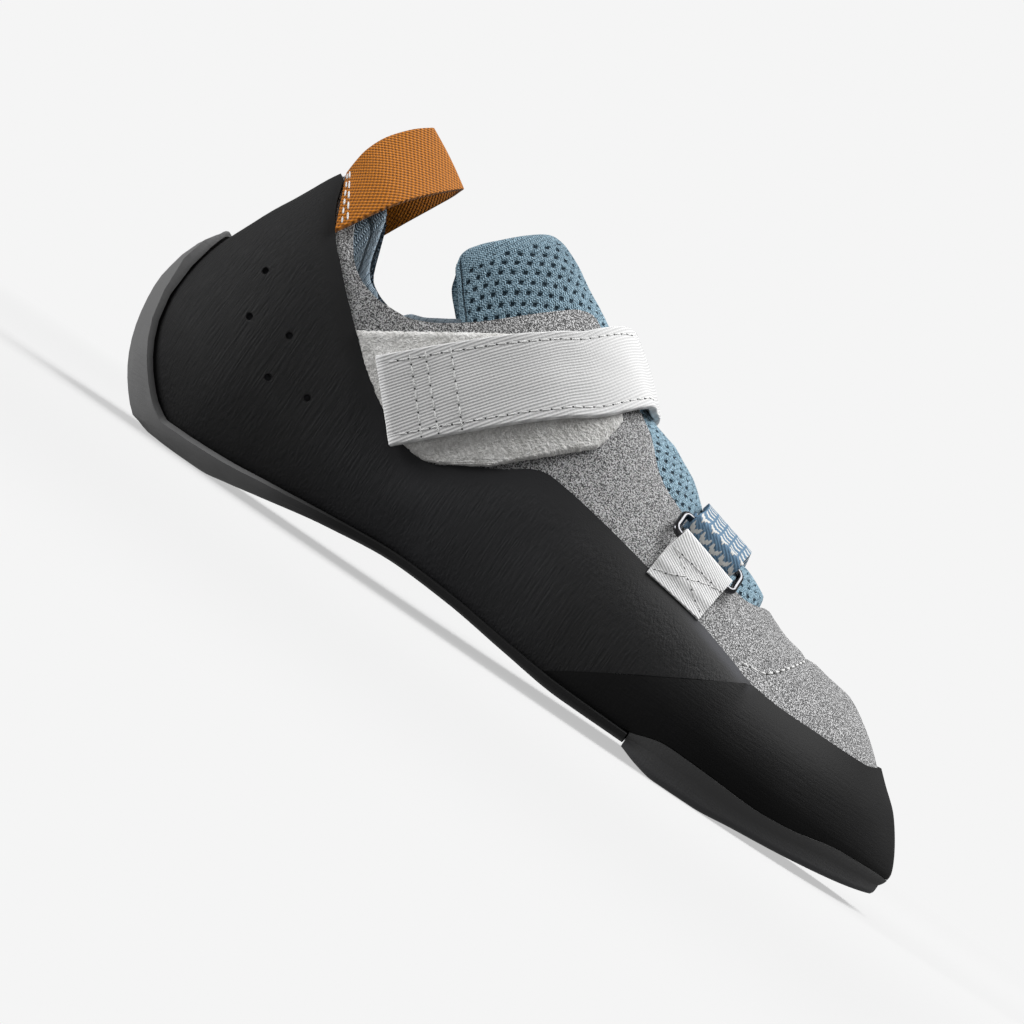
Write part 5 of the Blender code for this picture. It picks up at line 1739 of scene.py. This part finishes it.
@dataclass
class Cuff:
    """The padded mesh cuff round the inside of the heel."""

    shoe: Shoe
    steps: int = 60
    inside: Spot = (60.0, 0.0, 60.0)
    roll: float = 2.0

    def build(self) -> None:
        """Pad the cuff inside the collar."""
        last = self.shoe.last
        rows = []
        for hand, place in last.perimeter(0.0, last.station(CUFF_FRONT), 1.1):
            along = last.rib(hand, place).along
            back = CUFF_BACK[hand] * ease(along, 64.0, 52.0)
            top = last.level_under(hand, place, lambda x, back=back: CUFF_TOP(x + back), 1.0)
            edge = last.level_under(hand, place, COLLAR, 1.0)
            low = last.level_at(hand, place, CUFF_BOTTOM + 12.0 * ease(along, 64.0, 72.0))
            hidden = math.exp(-((along - 61.0) / 4.2) ** 4)
            peak = max(top, edge + 0.015)
            level = np.linspace(low, peak + (edge - 0.012 - peak) * hidden, self.steps)
            share = np.linspace(0.0, 1.0, self.steps)
            rows.append(last.lifted(hand, place, level, -(CUFF_INSET + np.maximum(0.0, 0.6 - 2.0 * share))))
        points = np.array(rows)
        up = np.array([row_length(row) for row in points])
        gap = up[:, -1:] - up
        roll = rolled(gap, self.roll)
        groove = bell(gap, 7.5, 0.8)
        thin = 1.0 - 0.75 * ease(points[..., 0], 62.0, 70.0)
        # The groove is darkened as painted shade through the crease mask; the hole mask is zero.
        cloth = Cloth(points, masks={"hole": 0.0 * groove, "crease": groove}, weights=roll * thin)
        height = -(1.0 - roll) * 0.5 * CUFF_THICK - 0.5 * groove + 0.18 * ripple(points, 16.0, 0.4)
        cloth.raise_by(np.minimum(height, 0.0), self.inside)
        piece = cloth.lay("cuff_pad", self.inside)
        thicken(piece, CUFF_THICK, -1.0, least=0.15)
        smooth(piece, 60.0)
        self.shoe.dress(piece, (CUFF_MESH,), "spacer_mesh", "heel_cuff")


@dataclass
class Strap:
    """The closure strap and the fleece patch under its free end."""

    shoe: Shoe
    tip: tuple[float, float] = (75.4, 43.7)
    angle: float = 43.5
    line: Pairs = (
        (-0.2, 0.0), (12.0, 0.0), (24.0, 0.0), (36.0, -0.3), (47.0, -1.0), (57.0, -2.1))
    over: Pairs = (
        (125.6, -0.17), (127.7, -0.02), (126.8, 0.14), (125.6, 0.30), (124.8, 0.46), (124.4, 0.60),
        (124.4, 0.70))
    patch_bottom: float = -22.0
    patch_top: float = 20.6
    patch_taper: float = 0.187
    patch_end: float = 62.3
    patch_cut: float = 32.0
    patch_cut_share: float = 0.223
    patch_grid: tuple[int, int] = (22, 28)
    tuft: float = 0.4
    patch_inside: Spot = (110.0, 0.0, 40.0)
    inside: Spot = (115.0, 0.0, 40.0)
    columns: int = 41
    seam_inset: float = 2.6
    seam_end: float = 78.0
    seams_across: tuple[float, ...] = (8.8, 12.4, 19.2)

    def side(self, run: float, across: float) -> tuple[float, float]:
        """Side-view position from the strap's own directions on the lateral side."""
        turn = math.radians(self.angle)
        x = self.tip[0] + run * math.cos(turn) - across * math.sin(turn)
        return x, self.tip[1] + run * math.sin(turn) + across * math.cos(turn)

    def lift(self, share: float) -> float:
        """Height of the strap's underside: over the patch, then close to the suede."""
        over_patch = 3.0 * CLEAR + PATCH_THICK
        return over_patch + (1.0 - over_patch) * ease(share, -0.28, -0.10)

    def patch(self) -> None:
        """Fleece patch, cut along the rand, with its stitched lower edge."""
        last = self.shoe.last
        shares, downs = (np.linspace(0.0, 1.0, count) for count in self.patch_grid)
        points = np.empty((*self.patch_grid, 3))
        for j, share in enumerate(shares):
            across = self.patch_bottom + (self.patch_top - self.patch_bottom) * share
            begin = self.patch_start(across)
            cut = self.patch_cut * max(0.0, self.patch_cut_share - share)
            end = self.patch_end - cut - 1.4 * (1.0 - share) ** 40
            for k, down in enumerate(downs):
                run = begin + (end - begin) * down
                top = self.patch_top - self.patch_taper * (run + 4.4)
                x, z = self.side(run, self.patch_bottom + (top - self.patch_bottom) * share)
                z = max(z, RAND_TOP(x) + 0.35)
                points[j, k] = last.seen(Side.LATERAL, x, z, 1.5 * CLEAR)[0]
        points = denser(points, 5, 5)
        low = np.array([row_length(points[:, k]) for k in range(points.shape[1])]).T
        run = np.array([row_length(points[j]) for j in range(points.shape[0])])
        rim = np.minimum(np.minimum(low, low[-1] - low), np.minimum(run, run[:, -1:] - run))
        cloth = Cloth(points, weights=np.clip(0.25 + rim / 1.2, 0.0, 1.0))
        piece = cloth.lay("landing_fleece", self.patch_inside)
        thicken(piece, PATCH_THICK, 1.0, least=0.2)
        self.brush(piece)
        smooth(piece, 70.0)
        self.shoe.dress(piece, (FLEECE,), "fleece", "fleece_patch")
        path = np.array([sample(low[:, k], points[:, k], self.seam_inset) for k in range(16, 112, 2)])
        out = np.array([last.seen(Side.LATERAL, p[0], p[2])[1] for p in path])
        rows = Stitching("patch_stitches", 1.9, 1.0, 0.2)
        rows.sew(path + out * PATCH_THICK, out, 0.05)
        self.shoe.sewn(rows, "fleece", False)

    def brush(self, piece: Piece) -> None:
        """Raise the fleece's outer face into small tufts."""
        mesh = piece.data
        spots = np.array([v.co[:] for v in mesh.vertices])
        out = np.array([v.normal[:] for v in mesh.vertices])
        tall = np.maximum(0.0, 0.5 + 0.5 * ripple(spots / MM, 2.3, 0.9) + 0.4 * ripple(spots / MM, 5.5, 2.0))
        outer = (out[:, 1] < 0.1).astype(float)
        spots += out * (tall * self.tuft * MM * outer)[:, None]
        mesh.vertices.foreach_set("co", spots.astype(np.float32).ravel())
        mesh.update()

    def patch_start(self, across: float) -> float:
        """Where a line of the patch leaves the rand."""
        for run in np.arange(40.0, -40.0, -0.4):
            x, z = self.side(run, across)
            if z < RAND_TOP(x) + 0.6:
                return run
        return -40.0

    def build(self) -> None:
        """Strap from its free end over the crest to the medial side, with its sewing."""
        last = self.shoe.last
        stops = []
        for run, across in self.line:
            x, z = self.side(run, across)
            stops.append((x, -(2.0 - last.level_at(Side.LATERAL, last.station(x), z))))
        stops += list(self.over)
        path = spline(np.array(stops), 9)
        rows = np.array([self.row(path, i) for i in range(len(path))])
        cloth = Cloth(rows)
        cloth.measure()
        across = cloth.flat[..., 1] / cloth.flat[0, -1, 1] * STRAP_WIDTH
        rim = np.minimum(across, STRAP_WIDTH - across)
        run = cloth.flat[..., 0]
        # Painted highlight on the strap's free end, where its rim catches the light.
        cloth.masks["end_highlight"] = ease(run, 2.2, 0.4)
        lift = -0.16 * bell(rim, self.seam_inset, 0.7) * (0.7 + 0.3 * np.cos(run * 2.0 * math.pi / 3.0))
        waves = 0.10 * np.cos(run * 2.0 * math.pi / 13.0) * ease(rim, 6.0, 1.0)
        lift += 0.20 * ripple(rows, 30.0, 3.1) + waves
        cloth.raise_by(np.maximum(lift, -0.3) + 0.1, self.inside)
        out = cloth.outward(self.inside)
        piece = cloth.lay("strap_webbing", self.inside)
        thicken(piece, STRAP_THICK, 1.0)
        round_rim(piece, 0.55, 3)
        smooth(piece, 50.0)
        self.shoe.dress(piece, (STRAP_TWILL,), "strap_web", "closure_strap")
        self.sew(cloth.points, out, run)

    def row(self, path: Array, i: int) -> Array:
        """One row of the strap, walked over the skin to both sides of its middle."""
        last = self.shoe.last
        along, share = (float(value) for value in path[i])
        before, after = path[max(i - 1, 0)], path[min(i + 1, len(path) - 1)]
        tangent = unit(last.girth(*after) - last.girth(*before))
        way = unit(np.cross(tangent, last.girth_normal(along, share)))
        step = STRAP_WIDTH / (self.columns - 1)
        lift = self.lift(share)
        middle = self.columns // 2
        row = np.empty((self.columns, 3))
        row[middle] = last.girth(along, share, lift - self.sink(share, middle))
        for sign in (-1, 1):
            spot = (along, share)
            for k in range(1, middle + 1):
                wide = 1.0 + (-0.06 if sign > 0 else 0.02) * max(0.0, 1.0 - (share / 0.45) ** 2)
                spot = last.walk(*spot, way, sign * step * wide)
                row[middle + sign * k] = last.girth(*spot, lift - self.sink(spot[1], middle + sign * k))
        return row

    def sink(self, share: float, column: int) -> float:
        """How far the strap presses into the throat, most along its front edge."""
        crown = max(0.0, 1.0 - (share / 0.25) ** 2) ** 1.2
        front = column / (self.columns - 1)
        return crown * (0.2 * front + 4.2 * front ** 2 - 1.0)

    def sew(self, top: Array, out: Array, run: Array) -> None:
        """Rows of stitches along the strap's edges and across its free end.

        Args:
            top: the strap's under face, rows by columns.
            out: outward directions there.
            run: length along the strap at each point.
        """
        face = top + out * STRAP_THICK
        rows = Stitching("strap_stitches", 2.1, 0.9, 0.23)
        inset = int(round(self.seam_inset / STRAP_WIDTH * (self.columns - 1)))
        middle = run[:, self.columns // 2]
        begin, end = np.searchsorted(middle, (self.seam_inset, self.seam_end))
        for column in (inset, self.columns - 1 - inset):
            rows.sew(face[begin:end, column], out[begin:end, column], 0.04)
        inner = slice(inset - 2, self.columns + 2 - inset)
        for i in np.searchsorted(middle, self.seams_across):
            rows.sew(face[i, inner], out[i, inner], 0.04)
        self.shoe.sewn(rows, "strap_web")


class OverRow(NamedTuple):
    """Band over the crest: share of girth, and place and lift of its two edges."""

    share: float
    back: float
    back_lift: float
    front: float
    front_lift: float


@dataclass
class RingSet:
    """The wire ring, the tab below it and the elastic band above it."""

    shoe: Shoe
    at: tuple[float, float] = (169.9, 56.6)
    long: float = 25.6
    short: float = 11.6
    wire: float = 1.08
    corner: float = 1.9
    lift: float = 3.5
    slope: float = -0.27
    tab_under: Pairs = ((-13.0, 1.2), (-9.5, 1.2), (-6.2, 1.3))
    tab_over: Pairs = (
        (-7.6, 4.6), (-9.8, 3.6), (-12.0, 3.0), (-14.2, 2.6), (-16.4, 1.6), (-19.3, 1.2))
    band_under: Pairs = ((10.0, 1.6), (8.3, 1.7), (6.6, 1.9))
    band_over: tuple[OverRow, ...] = tuple(starmap(OverRow, (
        (-0.30, 161.9, 4.3, 178.0, 5.4), (-0.22, 162.2, 3.0, 178.2, 5.1), (-0.14, 162.3, 1.7, 178.4, 4.9),
        (-0.06, 162.4, 0.8, 178.5, 4.3), (0.02, 162.5, 0.4, 178.7, 4.0), (0.11, 162.9, 0.5, 179.1, 3.7),
        (0.21, 163.5, 0.8, 179.8, 3.4), (0.32, 164.3, 1.2, 180.8, 2.4), (0.44, 165.2, 1.4, 182.1, 1.6))))
    columns: tuple[float, ...] = tuple(k / 8.0 for k in range(-4, 5))

    def frame(self) -> tuple[Array, Array, Array, Array]:
        """Middle of the ring and its directions: along it, up the foot, and away from the foot."""
        middle, out = self.shoe.last.seen(Side.LATERAL, *self.at, self.lift)
        along = unit(np.array([1.0, -(out[0] + self.slope * out[2]) / out[1], self.slope]))
        rise = np.cross(out, along)
        return middle, along, rise if rise[2] > 0.0 else -rise, out

    @property
    def bar(self) -> float:
        """Distance of the ring's two long bars from its middle."""
        return 0.5 * self.short - self.wire

    def walked(self, stops: Sequence[tuple[float, float]], width: float) -> list[Array]:
        """Rows of a band on the skin at distances from the ring's middle, each with its lift."""
        last = self.shoe.last
        _, way, rise, _ = self.frame()
        _, level = last.on_side(Side.LATERAL, *self.at)
        rows = []
        for distance, lift in stops:
            along, share = last.walk(self.at[0], -(2.0 - level), rise, distance)
            out = last.girth_normal(along, share)
            flat = unit(way - out * (way @ out))
            spots = [last.walk(along, share, flat, part * width) for part in self.columns]
            rows.append(np.array([last.girth(*spot, lift) for spot in spots]))
        return rows

    def folded(self, bar: float, sign: float, width: float, clear: float = CLEAR) -> list[Array]:
        """Half turn of a band round one bar of the ring."""
        middle, along, rise, out = self.frame()
        radius = self.wire + clear + 0.5 * WEB_THICK
        rows = []
        for k in range(7):
            turn = math.pi * k / 6.0
            spot = middle + rise * (bar + sign * radius * math.sin(turn)) - out * radius * math.cos(turn)
            rows.append(np.array([spot + along * part * width for part in self.columns]))
        return rows

    def build_ring(self) -> None:
        """Bend a torus into the ring's rounded oblong."""
        middle, along, rise, _ = self.frame()
        deselect()
        tube = 0.2
        bpy.ops.mesh.primitive_torus_add(major_segments=96, minor_segments=20, major_radius=1.0,
                                         minor_radius=tube)
        piece = named("wire_ring")
        half = 0.5 * self.long - self.wire
        line = []
        for side in (-1.0, 1.0):
            for k in range(9):
                turn = side * math.pi / 4.0 + math.pi / 2.0 * (k / 8.0 - 0.5)
                line.append((half - self.corner * (1.0 - math.cos(turn)),
                             side * (self.bar - self.corner) + self.corner * math.sin(turn)))
        loop = np.array(line + [(-p, -q) for p, q in line] + line[:1])
        length = row_length(loop)
        spots = np.array([v.co[:] for v in piece.data.vertices])
        turn = np.arctan2(spots[:, 1], spots[:, 0]) % (2.0 * math.pi)
        at = turn / (2.0 * math.pi) * length[-1]
        back, here, ahead = (sample(length, loop, (at + step) % length[-1]) for step in (-0.2, 0.0, 0.2))
        ahead = unit(ahead - back)
        away = np.stack([ahead[:, 1], -ahead[:, 0]], axis=-1)
        reach = np.hypot(spots[:, :1], spots[:, 1:2]) - 1.0
        here = here + away * (reach / tube * self.wire)
        high = spots[:, 2:] / tube * self.wire
        world = middle + here[:, :1] * along + here[:, 1:] * rise + high * np.cross(along, rise)
        piece.data.vertices.foreach_set("co", scene_points(world).astype(np.float32).ravel())
        piece.data.update()
        with editing():
            bpy.ops.mesh.normals_make_consistent(inside=False)
        smooth(piece, 60.0)
        self.shoe.dress(piece, (WIRE,), "ring_wire", "ring")

    def web(self, name: str, rows: list[Array], finish: Finish, slot: str,
            thick: float = WEB_THICK) -> tuple[Array, Array]:
        """A folded piece of webbing through given rows.

        Args:
            name: name of the piece and of the solid that it stands for.
            rows: rows of points along the webbing.
            finish: the webbing's finish.
            slot: the record's material slot.
            thick: thickness in millimetres.

        Returns:
            The webbing's middle face and the directions square to it.
        """
        dense = denser(np.array(rows), 5, 4)
        cloth = Cloth(dense)
        out = cloth.normals()
        middle = dense.shape[1] // 2
        piece = cloth.lay(name + "_webbing", tuple(dense[0, middle] - out[0, middle]), join=False)
        thicken(piece, thick, 0.0)
        round_rim(piece, 0.34 * thick, 3)
        smooth(piece, 50.0)
        self.shoe.dress(piece, (finish,), slot, name)
        return dense, out

    def build_tab(self) -> None:
        """Tab folded round the lower bar, with its sewing."""
        rows = self.walked(self.tab_under, TAB_WIDTH) + self.folded(-self.bar, 1.0, TAB_WIDTH, 0.1)
        rows += self.walked(self.tab_over, TAB_WIDTH)
        dense, out = self.web("ring_tab", rows, TAB_TWILL, "tab_web")
        away = self.frame()[-1]
        columns = dense.shape[1]
        length = row_length(dense[:, columns // 2])
        out = out * (1.0 if out[-1, columns // 2] @ away > 0.0 else -1.0)
        face = dense + out * 0.5 * WEB_THICK
        fold = int(np.argmax(dense[:, columns // 2] @ away))
        stitches = Stitching("tab_stitches", 2.0, 1.2, 0.17)
        hem, foot = np.searchsorted(length, (length[fold] + 5.2, length[-1] - 2.6))
        stitches.sew(face[hem, 2:-2], out[hem, 2:-2], 0.02)
        for ends in ((3, columns - 4), (columns - 4, 3)):
            at = tuple(np.linspace(*span, 24).round().astype(int) for span in ((hem, foot), ends))
            stitches.sew(face[at], out[at], 0.02)
        self.shoe.sewn(stitches, "tab_web")

    def build_band(self) -> None:
        """Elastic band folded round the upper bar and over the crest."""
        last = self.shoe.last
        rows = self.walked(self.band_under, BAND_WIDTH) + self.folded(self.bar, -1.0, BAND_WIDTH)
        for stop in self.band_over:
            back = last.girth(stop.back, stop.share, stop.back_lift)
            front = last.girth(stop.front, stop.share, stop.front_lift)
            rows.append(np.array([back + (front - back) * (part + 0.5) for part in self.columns]))
        self.web("cross_band", rows, BAND_WEAVE, "band_web", BAND_THICK)


class LoopRow(NamedTuple):
    """Upper and lower edge of the pull loop's lateral half."""

    upper: Spot
    lower: Spot


@dataclass
class PullLoop:
    """The webbing loop at the back of the collar."""

    shoe: Shoe
    base_upper: tuple[float, float] = (30.5, 89.6)
    base_lower: tuple[float, float] = (37.5, 74.7)
    rows: tuple[LoopRow, ...] = tuple(starmap(LoopRow, (
        ((29.4, -14.0, 95.4), (41.6, -23.0, 83.6)), ((29.9, -12.6, 99.9), (46.0, -19.6, 91.2)),
        ((31.8, -9.6, 105.4), (50.2, -14.0, 97.4)), ((35.6, -5.4, 111.2), (53.7, -7.6, 102.2)),
        ((38.8, -1.8, 114.6), (55.6, -2.4, 105.0)), ((39.6, 0.0, 115.3), (56.2, 0.0, 105.8)))))
    inside: Spot = (40.0, 0.0, 85.0)
    columns: int = 31
    bow: float = 0.35
    seam_insets: tuple[float, ...] = (0.9, 2.4)

    def build(self) -> None:
        """Bend the webbing from side to side and sew its ends down."""
        last = self.shoe.last
        lift = 2.0 * CLEAR + 0.5 * LOOP_THICK + 0.5
        base = [last.seen(Side.LATERAL, *spot, lift)[0] for spot in (self.base_upper, self.base_lower)]
        half = np.array([base] + [[row.upper, row.lower] for row in self.rows])
        other = half[-2::-1] * np.array([1.0, -1.0, 1.0])
        dense = spline(np.concatenate([half, other]), 11)
        share = np.linspace(0.0, 1.0, self.columns)
        cloth = Cloth(dense[:, :1] + (dense[:, 1:] - dense[:, :1]) * share[None, :, None])
        cloth.raise_by(self.bow * np.sin(share * math.pi)[None, :], self.inside)
        points, out = cloth.points, cloth.outward(self.inside)
        piece = cloth.lay("loop_webbing", self.inside)
        thicken(piece, LOOP_THICK, 0.0)
        round_rim(piece, 0.3, 2)
        smooth(piece, 50.0)
        self.shoe.dress(piece, (LOOP_TWILL,), "loop_web", "pull_loop")
        stitches = Stitching("loop_stitches", 2.1, 0.9, 0.27)
        length = row_length(points[:, self.columns // 2])
        for inset in self.seam_insets:
            for at in (inset, length[-1] - inset):
                i = int(np.searchsorted(length, at))
                stitches.sew(points[i, 2:-2] + out[i, 2:-2] * 0.5 * LOOP_THICK, out[i, 2:-2], 0.03)
        self.shoe.sewn(stitches, "loop_web", False)


@dataclass
class VampSeam:
    """The short row of pale stitches across the vamp."""

    shoe: Shoe
    line: Pairs = ((195.4, 39.6), (198.6, 39.9), (201.9, 40.6), (204.7, 42.9), (207.6, 46.6), (209.6, 49.6))
    sink: float = 0.05

    def build(self) -> None:
        """Sew the row along the vamp's trough."""
        stitches = Stitching("vamp_stitches", 1.9, 1.1, 0.34)
        line = spline(np.array(self.line), 8)
        path, out = zip(*(self.shoe.last.seen(Side.LATERAL, *map(float, spot), -self.sink) for spot in line))
        stitches.sew(np.array(path), np.array(out), 0.0)
        self.shoe.sewn(stitches, "suede")


class Lamp(NamedTuple):
    """A square soft light: its name, its place and side in metres, and its watts."""

    name: str
    spot: Spot
    size: float
    power: float


@dataclass
class Studio:
    """Pale floor, soft lights and the camera."""

    target: Spot = (118.74, 0.0, 38.6)
    distance: float = 1.0
    azimuth: float = 4.0
    roll: float = 34.0
    field: float = 286.7
    near: Colour = (0.275, 0.275, 0.275)
    glow: Colour = (0.50, 0.50, 0.50)
    pale: Colour = (0.913, 0.913, 0.913)
    surround: float = 0.21
    sensor: float = 36.0
    lamps: tuple[Lamp, ...] = (
        Lamp("key", (0.42, 0.10, 1.20), 0.9, 22.5), Lamp("heel", (-1.05, -0.30, 0.26), 0.45, 7.5),
        Lamp("fill", (0.25, -1.25, 0.55), 1.2, 0.8))

    def build(self) -> None:
        """Set the floor, the lights and the camera."""
        self.floor()
        self.lights()
        self.camera()

    def floor(self) -> None:
        """Pale floor that glows evenly towards its far parts."""
        deselect()
        bpy.ops.mesh.primitive_circle_add(vertices=96, radius=12.0, fill_type="NGON")
        floor = bpy.context.object
        floor.name = "floor"
        floor.visible_diffuse = False
        floor.visible_glossy = False
        made = bpy.data.materials.new("pale_floor")
        made.use_nodes = True
        graph = Graph(made.node_tree)
        shader = made.node_tree.nodes["Principled BSDF"]
        reach = graph.add("ShaderNodeVectorMath", {0: graph.place()}, operation="LENGTH")
        far = graph.span(reach.outputs["Value"], 0.20, 0.55)
        graph.feed(shader, {"Roughness": 0.95, "Specular IOR Level": 0.0, "Emission Strength": 1.0,
                            "Base Color": graph.blend(far, self.near, (0.0, 0.0, 0.0)),
                            "Emission Color": graph.blend(far, self.glow, self.pale)})
        floor.data.materials.append(made)

    def lights(self) -> None:
        """A broad light overhead, a low one behind the heel, a weak one in front, and an even surround."""
        scene = bpy.context.scene
        scene.view_settings.view_transform = "Standard"
        world = bpy.data.worlds.new("surround")
        scene.world = world
        world.use_nodes = True
        graph = Graph(world.node_tree)
        back = world.node_tree.nodes["Background"]
        graph.feed(back, {0: (1.0, 1.0, 1.0, 1.0), 1: self.surround})
        seen = graph.add("ShaderNodeBackground", {0: (*self.pale, 1.0), 1: 1.0})
        camera_ray = graph.add("ShaderNodeLightPath").outputs["Is Camera Ray"]
        both = graph.add("ShaderNodeMixShader", {0: camera_ray, 1: back.outputs[0], 2: seen.outputs[0]})
        graph.feed(world.node_tree.nodes["World Output"], {0: both.outputs[0]})
        for lamp in self.lamps:
            self.area(lamp)

    @staticmethod
    def area(lamp: Lamp) -> None:
        """One square soft light that looks at the shoe."""
        light = bpy.data.lights.new(lamp.name, "AREA")
        light.size, light.energy = lamp.size, lamp.power
        made = bpy.data.objects.new(lamp.name, light)
        bpy.context.scene.collection.objects.link(made)
        made.location = lamp.spot
        made.rotation_mode = "QUATERNION"
        made.rotation_quaternion = (Vector((0.0, 0.0, 0.05)) - Vector(lamp.spot)).to_track_quat("-Z", "Y")

    def camera(self) -> None:
        """Camera at the photograph's angle to the shoe, rolled with it."""
        data = bpy.data.cameras.new("camera")
        data.sensor_width = self.sensor
        data.lens = self.sensor * self.distance / (self.field * MM)
        camera = bpy.data.objects.new("camera", data)
        bpy.context.scene.collection.objects.link(camera)
        a, r = math.radians(self.azimuth), math.radians(self.roll)
        look = Vector((-math.sin(a), math.cos(a), 0.0))
        right = Vector((math.cos(a), math.sin(a), 0.0))
        up = Vector((0.0, 0.0, 1.0))
        across = right * math.cos(r) + up * math.sin(r)
        above = up * math.cos(r) - right * math.sin(r)
        turn = Matrix((across, above, -look)).transposed().to_4x4()
        target = Vector(scene_points(np.array(self.target)))
        turn.translation = target - look * self.distance
        camera.matrix_world = turn
        bpy.context.scene.camera = camera


def main() -> None:
    """Build every piece in order and report each."""
    logging.basicConfig(level=logging.INFO, format="%(message)s")
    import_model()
    shoe = Shoe()
    Upper(shoe).build()
    rand = Rand(shoe)
    rand.heel()
    rand.toe()
    soles = Soles(shoe)
    soles.rear()
    soles.fore()
    soles.insole()
    Tongue(shoe).build()
    Cuff(shoe).build()
    strap = Strap(shoe)
    strap.patch()
    strap.build()
    ring = RingSet(shoe)
    ring.build_tab()
    ring.build_ring()
    ring.build_band()
    PullLoop(shoe).build()
    VampSeam(shoe).build()
    Studio().build()
    LOG.info("%d pieces", len(shoe.pieces))


if __name__ == "__main__":
    main()
